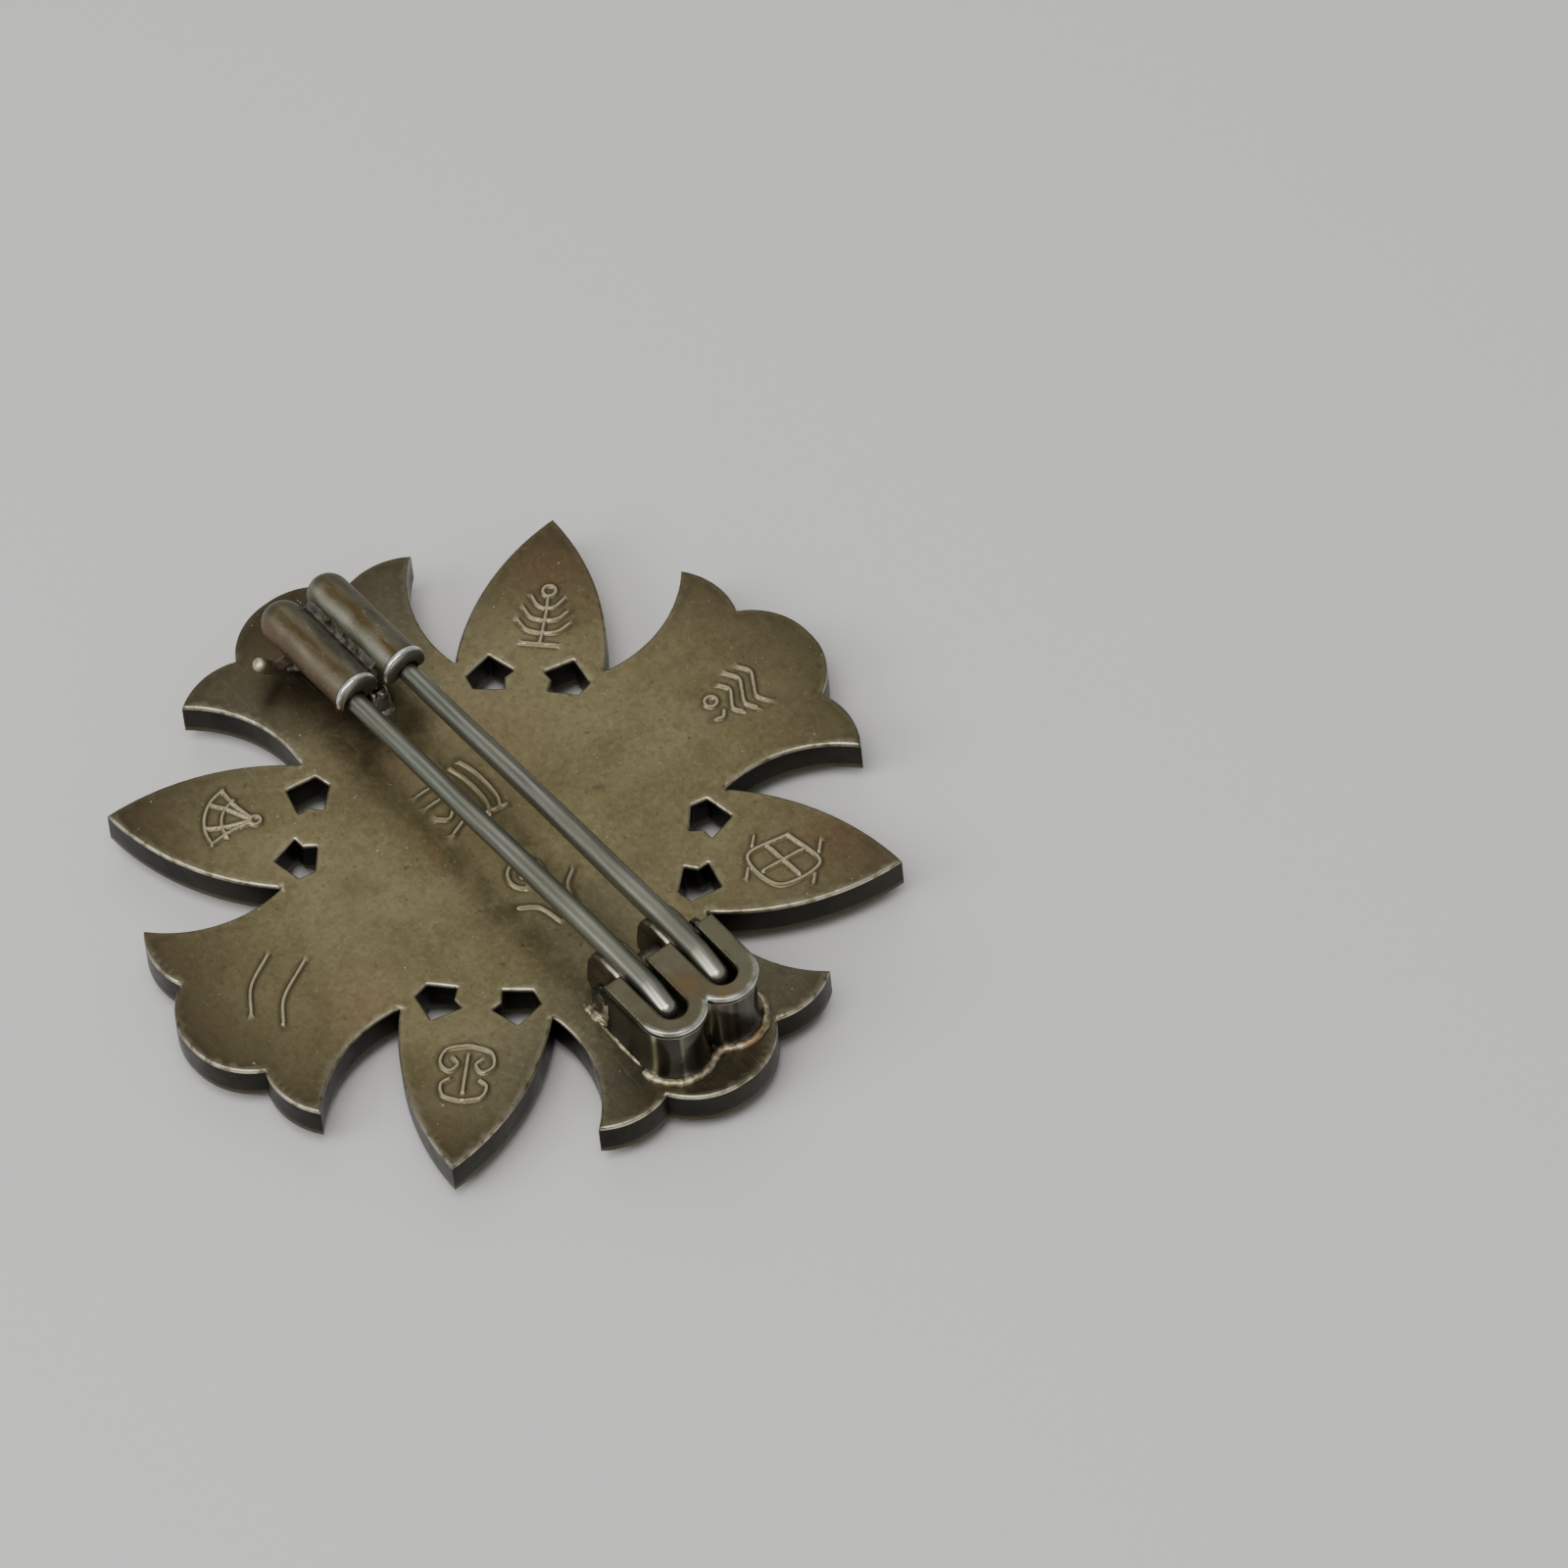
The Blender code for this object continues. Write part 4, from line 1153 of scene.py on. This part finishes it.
def add_box_solder(material):
    """The bead that holds the box on, and the runs round its ears."""
    line = [p for p in wall_path(LID_LOBE_RADIUS - LID_OVERHANG + FLARE) if p[0] > EAR_END_X]
    path = filled_in(line, WALL_STEP, False)
    swells = [0.22 * grain((0.9 * i * WALL_STEP, 0, 0), 0.55, 2.0) for i in range(len(path))]
    radii = [BEAD_RADIUS * (1 + swell) for swell in swells]
    near_stain = blob(path, 19.6, 2.0, math.sqrt(0.5))

    def uneven(i, angle):
        return 1 + 0.10 * grain((i * WALL_STEP, 2 * angle, 0), 0.6, 3.0)

    line = [(x, y, BACK + 0.02) for x, y in path]
    mesh = swept("bead_box", line, radii, 14, uneven, {"orange": near_stain}, 0.8)
    show(mesh, "bead_box", "badge", "solder", material)
    for side, word in SIDES:
        y = CLASP_Y + side * (LOBE_SPREAD + LID_LOBE_RADIUS - LID_OVERHANG)
        add_runs(material, (
            (f"run_mouth_{word}", (AXLE_X + 0.45, y, BACK + 1.0), (0.24, 0.20, 1.1), 3.0 + side, 0.5),
            (f"run_foot_{word}", (15.9, y + side * 0.18, BACK), (2.2, 0.24, 0.22), 4.0 + side, 0.35),
            (f"run_ear_{word}", (EAR_END_X + 0.5, y, BACK), (0.75, 0.32, 0.26), 5.0 + side, 0.4),
            (f"run_toe_{word}", (EAR_END_X - 0.2, y + side * 0.1, BACK), (0.45, 0.26, 0.08), 9.0 + side, 0.4),
        ))


def add_runs(material, runs):
    """Runs of solder on the back, each a name, its middle, its radii, a seed and how rough it is."""
    for name, centre, radii, seed, rough in runs:
        show(lump(name, centre, radii, seed, rough, BACK - 0.1), name, "badge", "solder", material)


def turned_on_axle(name, half_ends):
    """A bar on the axle's line, from pairs of half length and radius that start at its ends."""
    ends = [(-y, radius) for y, radius in half_ends]
    rows = [*ends, (0, half_ends[-1][1]), *((-y, radius) for y, radius in reversed(ends))]
    path = [(AXLE_X, CLASP_Y + y, BACK + AXLE_HEIGHT) for y, _ in rows]
    return bar_along_y(name, path, [radius for _, radius in rows])


def add_axle(material):
    reach = LOBE_SPREAD + LID_LOBE_RADIUS - LID_OVERHANG + 0.05
    mesh = turned_on_axle("axle_pin", (
        (reach, 0.2), (reach - 0.02, 0.36), (reach - 0.08, 0.46), (reach - 0.18, AXLE_RADIUS)))
    show(mesh, "axle_pin", "badge", "pin_wire", material, "hinge_axle")


# === The pin ===

def prong_height(x):
    """Height of a prong's axis over the resting plane."""
    return BACK + PRONG_HEIGHT - PRONG_SLOPE * np.maximum(PRONG_LEVEL_X - x, 0)


def add_prong(side, word, material):
    """A wire with a long taper, a point inside the sheath, and a tail that dips to a rounded end."""
    point_end = PRONG_TIP_X + PRONG_POINT
    middle = PRONG_TAIL_X - PRONG_ROOT_RADIUS
    tail_height = prong_height(TAIL_START_X)
    rows = []                               # place along X, height, radius, and the share of rubbed polish and painted highlight
    xs = [*np.linspace(PRONG_TIP_X, point_end, 12), *np.linspace(point_end + 0.3, TAIL_START_X, 60)]
    for x in xs:
        reach = min(1.0, (x - PRONG_TIP_X) / PRONG_POINT)
        run = np.clip((x - point_end) / (PRONG_LEVEL_X - point_end), 0, 1)
        radius = PRONG_MOUTH_RADIUS + (PRONG_ROOT_RADIUS - PRONG_MOUTH_RADIUS) * run
        rows.append((x, prong_height(x), radius * max(0.06, math.sin(reach * math.pi / 2)),
                     0.2 * bell(x - 10.5, 2.0)))
    steps = 8
    for i in range(1, steps + 1):
        t = i / steps
        x = TAIL_START_X + (middle - TAIL_START_X) * t
        # the tail's brightness: rubbed polish and a painted highlight where it curves down
        rows.append((x, tail_height - TAIL_DROP * t ** 1.4, PRONG_ROOT_RADIUS, 0.15 + 0.65 * t))
    for i in range(1, steps + 1):
        angle = math.pi / 2 * i / (steps + 0.3)
        rows.append((middle + PRONG_ROOT_RADIUS * math.sin(angle),
                     tail_height - TAIL_DROP * (1 + 0.4 * math.sin(angle)),
                     PRONG_ROOT_RADIUS * math.cos(angle), 1.0))
    path = []
    for x, z, _, _ in rows:
        wander = 0.02 * math.sin(0.35 * x + side) if x < PRONG_LEVEL_X else 0.0
        wander -= 0.04 * max(0.0, x - TAIL_START_X)
        path.append((x, CLASP_Y + side * PRONG_SPREAD + wander, float(z)))
    name = f"prong_{word}_wire"
    mesh = swept(name, path, [row[2] for row in rows], 28, None, {"polish_and_highlight": [row[3] for row in rows]})
    show(mesh, name, "pin", "pin_wire", material, f"prong_{word}")


def knuckle_outline():
    """Side view in X and height over the back: the round eye, and the curved foot towards the points."""
    eye = on_circle(AXLE_X, AXLE_HEIGHT, KNUCKLE_RADIUS, np.radians(np.linspace(-100, 95, 31)))
    foot = [(12.5, KNUCKLE_HEIGHT), (11.9, 3.58), (11.5, 3.1), (11.2, 2.4), (11.0, 1.3), (10.92, 0.4),
            (11.05, 0.14), (12.79, 0.13)]
    return filled_in(eye + foot, 0.14)


def add_knuckle(side, word, material):
    def wear_and_highlight(points, depth):
        # a highlight painted along the eye's top edge, where its round shoulder would catch the light
        high = np.clip((points[:, 1] - 3.2) / 0.5, 0, 1)
        along = np.exp(-(((points[:, 0] - 13.75) / 0.65) ** 4))
        return 0.0, {"edge": bell(depth, 0.15) * (0.06 + 0.70 * high * along)}

    def plain(points, depth):
        return 0.0, {"edge": 0.06 * bell(depth, 0.16)}

    half = KNUCKLE_WIDTH / 2
    name = f"knuckle_{word}_eye"
    mesh = plate(name, [knuckle_outline()], -half, half, 0.18, 0.2, wear_and_highlight, plain)
    stand_up(mesh, CLASP_Y + side * PRONG_SPREAD, BACK)
    show(mesh, name, "pin", "pin_wire", material, f"knuckle_{word}")


def add_spacer(material):
    reach = PRONG_SPREAD - KNUCKLE_WIDTH / 2
    mesh = turned_on_axle("spacer_sleeve", ((reach, 0.86), (reach - 0.06, 0.93), (reach - 0.2, 0.95)))
    show(mesh, "spacer_sleeve", "pin", "pin_wire", material, "hinge_spacer")


# === The sheath ===

def tube_section(length, offset):
    """Rows of a tube from its dome to its mouth and back inside: radius, way from the mouth, how far the ring
    is moved across, and its shares of the attributes edge, face, inside and moat."""
    bare, within = (0, 0, 0, 0, 0), (0, 0, 1, 0)
    bore = TUBE_RADIUS - TUBE_WALL
    rim_end = NOSE_LENGTH + RIM_LENGTH
    rows = []
    for angle in np.linspace(0, math.pi / 2, 17):
        rows.append((TUBE_RADIUS * math.sin(angle), length - TUBE_RADIUS * (1 - math.cos(angle)), *bare))
    for along in np.linspace(length - TUBE_RADIUS, rim_end + 0.12, 28)[1:]:
        rows.append((TUBE_RADIUS, along, *bare))
    rows.append((TUBE_RADIUS, rim_end + 0.04, 0, 0, 0, 0, 0.7))
    half = RIM_LENGTH / 2
    for i, angle in enumerate(np.linspace(math.pi / 2, -math.pi / 2, 11)):
        swell = (RIM_RADIUS - TUBE_RADIUS) * math.cos(angle)
        along = NOSE_LENGTH + half + half * math.sin(angle)
        rows.append((TUBE_RADIUS + swell, along, 0, 1 if i < 9 else 0.5, 0, 0, 0))
    for angle in np.linspace(0, math.pi / 2, 9)[1:]:
        inward = 1 - math.cos(angle)
        radius = TUBE_RADIUS + (NOSE_RADIUS - TUBE_RADIUS) * inward
        rows.append((radius, NOSE_LENGTH * (1 - math.sin(angle)), offset * inward, 0, 1, 0, 0))
    rows.append((MOUTH_RADIUS + 0.02, 0.02, offset, 0.2, 0.8, 0, 0))
    rows.append((MOUTH_RADIUS, 0.10, offset, *within))
    rows.append((MOUTH_RADIUS, NOSE_LENGTH + LIP_LENGTH, offset, *within))
    rows.append((bore, NOSE_LENGTH + LIP_LENGTH + 0.05, 0, *within))
    for angle in np.linspace(math.pi / 2, 0, 9):
        rows.append((bore * math.sin(angle), length - TUBE_WALL - bore * (1 - math.cos(angle)), 0, *within))
    return rows


def add_tube(side, word, material):
    """A closed tube, domed at its far end, with a rolled rim and a lip that closes in round the prong."""
    end, mouth = TUBE_ENDS_X[word]
    middle = SHEATH_Y + side * TUBE_SPREAD
    rows = tube_section(mouth - end, CLASP_Y + side * PRONG_SPREAD - middle)
    around = 56
    tilt = math.atan(PRONG_SLOPE)
    back = Vector((-math.cos(tilt), 0, -math.sin(tilt)))
    up = Vector((-math.sin(tilt), 0, math.cos(tilt)))
    start = Vector((mouth, middle, float(prong_height(mouth))))
    brown_at, band_at = (-15, -47) if side < 0 else (-7, -42)
    band_strength = 0.45 if side < 0 else 0.9
    vertices = []
    keys = ("edge", "face", "inside", "moat", "crown", "band", "plate_reflection")
    paints = [[] for _ in keys]
    for radius, along, shift, edge, face, inner, moat in rows:
        skin = (1 - edge) * (1 - face) * (1 - inner)
        near_dome = min(1.0, max(0.0, (mouth - end - along) / 1.6))
        near_rim = min(1.0, max(0.0, (along - 0.9) / 0.8))
        slanted = RIM_SLANT * min(1.0, max(0.0, (2.2 - along) / 1.2))
        wobble = 6 * grain((along, 0, 3.0 * side), 1.2)
        for k in range(around):
            angle = 2 * math.pi * k / around
            across, lift = math.cos(angle), math.sin(angle)
            r = radius
            if skin and radius > 0.1:
                r += 0.018 * grain((along, 1.3 * across, 1.3 * lift), 1.1, 4.0 + side) * near_rim
            slant = slanted * max(0.0, -lift) ** 1.3
            sideways = Vector((0, across * r + shift, 0))
            vertices.append(start + back * (along + slant) + sideways + up * lift * r)
            turn = math.degrees(math.atan2(across, lift)) + wobble
            crown = skin * near_dome * bell(turn - brown_at, 17)
            # band: a painted highlight along the side that faces the key light
            band = band_strength * skin * (0.4 + 0.6 * near_dome) * bell(turn - band_at, 16)
            # painted reflection of the warm plate, on the side of the tube that faces it
            low_side = max(0.0, -across * 0.9 - lift * 0.35) if side < 0 else max(0.0, -lift * 0.7)
            for values, value in zip(paints, (edge, face, inner, moat, crown, band, 0.8 * low_side * skin)):
                values.append(value)
    name = f"tube_{word}_drawn"
    mesh = mesh_of(name, vertices, ring_faces(len(rows), around), dict(zip(keys, paints)))
    body = bmesh.new()
    body.from_mesh(mesh)
    bmesh.ops.remove_doubles(body, verts=body.verts, dist=0.002 * MM)
    body.to_mesh(mesh)
    body.free()
    fix_normals(mesh, 60)
    show(mesh, name, "sheath", "browned_silver", material, f"sheath_tube_{word}")


def add_web(material):
    """Solder run low between the two tubes, with small drips drawn up against the right tube."""
    rows, columns = 90, 10
    first, last = WEB_ENDS_X
    vertices, faces = [], []
    for level in (1, -1):
        for i in range(rows + 1):
            x = first + (last - first) * i / rows
            end = min(1.0, min(i, rows - i) / 5)
            drip = 0.16 * max(0.0, grain((x, 0, 0), 0.26, 2.0)) + 0.06 * grain((x, 0, 0), 0.9, 4.0)
            for k in range(columns + 1):
                y = -1 + 2 * k / columns
                if level > 0:
                    climb = 0.20 + 0.25 * y * y + max(0.0, y) ** 2 * (0.10 + drip)
                    z = (climb + 0.012 * grain((x, y, 0), 0.5, 6.0)) * end - 0.3 * (1 - end)
                else:
                    z = -0.85 + 0.4 * (1 - end)
                half = TUBE_SPREAD + 0.04 - math.sqrt(TUBE_RADIUS ** 2 - min(abs(z), 0.9) ** 2)
                vertices.append((x, SHEATH_Y + y * half, float(prong_height(x)) + z))
    row = columns + 1
    size = (rows + 1) * row
    for level in (0, 1):
        for i in range(rows):
            for k in range(columns):
                a = level * size + i * row + k
                quad = (a, a + row, a + row + 1, a + 1)
                faces.append(quad if level else quad[::-1])
    rim = [i * row for i in range(rows)] + [rows * row + k for k in range(columns)]
    rim += [i * row + columns for i in range(rows, 0, -1)] + list(range(columns, 0, -1))
    for a, b in zip(rim, rim[1:] + rim[:1]):
        faces.append((a, b, b + size, a + size))
    mesh = mesh_of("web_solder", vertices, faces)
    fix_normals(mesh, 60)
    show(mesh, "web_solder", "sheath", "solder", material, "sheath_web")


# === The catch ===

def add_strap(material):
    """A strap soldered to the plate, its end turned up into a lug between the prongs."""
    low, high = cad_box("catch_strap")
    start, end = low.x, high.x
    bend, round_top = 0.45, 0.225            # radii of the bend outside and of the lug's rounded top
    outline = [(start, 0), (end - bend, 0)]
    outline += on_circle(end - bend, bend, bend, np.radians((-60, -30, 0)))
    outline += [(end, LUG_TOP - 0.25)]
    outline += on_circle(end - round_top, LUG_TOP - round_top, round_top, np.radians((30, 60, 90, 120, 150)))
    inner = end - STRAP_THICKNESS
    outline += [(inner, 0.6), (inner - 0.15, STRAP_THICKNESS), (start, STRAP_THICKNESS)]
    half = STRAP_WIDTH / 2
    mesh = plate("strap_strip", [filled_in(outline, 0.15)], -half, half, 0.1, 0.2)
    stand_up(mesh, SHEATH_Y, low.z)
    show(mesh, "strap_strip", "badge", "grey_silver", material, "catch_strap")


def add_rod(material):
    """The cross rod, bent up at its outer end into a finger piece with a rounded tip."""
    z = cad_box("catch_rod")[0].z + ROD_RADIUS
    half, bend_steps, bend = 2.7, 8, math.radians(50)
    route = [(y, 0) for y in (half, half - 0.05, half - 0.2, 1.0, 0, -1.0, -half)]
    for i in range(1, bend_steps + 1):
        angle = bend * i / bend_steps
        route.append((-half - math.sin(angle), 1 - math.cos(angle)))
    y, lift = route[-1]
    route += [(y - 0.643 * s, lift + 0.766 * s) for s in (0.5, 1.0, 1.2, 1.33, 1.4)]
    thicker = [1.0 + 0.25 * i / 12 for i in range(13)]
    plain = len(route) - 2 - len(thicker)
    radii = [0.2, 0.33] + [ROD_RADIUS] * plain + [ROD_RADIUS * t for t in thicker]
    radii[-3:] = [ROD_RADIUS * 1.15, ROD_RADIUS * 0.85, ROD_RADIUS * 0.4]
    path = [(ROD_X, SHEATH_Y + y, z + lift) for y, lift in route]
    polish_and_highlight = [0.0] * (len(route) - 4) + [0.3, 0.8, 1, 1]
    mesh = swept("rod_bent", path, radii, 20, None, {"polish_and_highlight": polish_and_highlight})
    show(mesh, "rod_bent", "badge", "aged_silver", material, "catch_rod")


def add_catch_solder(material):
    """Solder that fills round the strap and the rod."""
    add_runs(material, (
        ("run_strap_end", (-11.6, SHEATH_Y, BACK), (0.65, 0.7, 0.3), 1.0, 0.22),
        ("run_lug", (-11.55, SHEATH_Y, BACK + 0.8), (0.42, 0.56, 0.78), 6.0, 0.22),
        ("run_strap_side", (-14.6, SHEATH_Y - 0.55, BACK), (1.9, 0.4, 0.3), 2.0, 0.22),
        ("run_strap_far", (-15.0, SHEATH_Y + 0.55, BACK), (2.2, 0.4, 0.3), 3.0, 0.22),
        ("run_rod", (ROD_X, SHEATH_Y - 1.4, BACK), (0.6, 0.9, 0.35), 4.0, 0.22),
    ))


add_camera()
add_world()
add_floor()
add_area("overhead", -60, 72, 0.60, (0.42, 0.42), 2.6, (1.0, 0.985, 0.96))
add_area("window", -105, 38, 0.70, (0.35, 0.30), 1.6, (0.92, 0.96, 1.0))
add_area("far_fill", 150, 50, 0.80, (0.50, 0.40), 0.7)

aged, grey, wire, knuckle = star_material(), grey_material(), wire_material(), knuckle_material()
browned = tube_material()
solder = solder_material("solder", (0.20, 0.155, 0.09), (0.50, 0.43, 0.30))
# solder for the web, painted dark for the shade in the groove between the tubes
shade_darkened_solder = solder_material("shade_darkened_solder", (0.050, 0.045, 0.034), (0.15, 0.145, 0.118))
add_star(aged)
add_lid(grey)
add_wall(grey)
add_box_solder(solder)
add_axle(wire)
for side, word in SIDES:
    add_prong(side, word, wire)
    add_knuckle(side, word, knuckle)
    add_tube(side, word, browned)
add_spacer(knuckle)
add_web(shade_darkened_solder)
add_strap(grey)
add_rod(finger_material())
add_catch_solder(solder_material("grey_solder", (0.13, 0.115, 0.085), (0.30, 0.275, 0.23)))
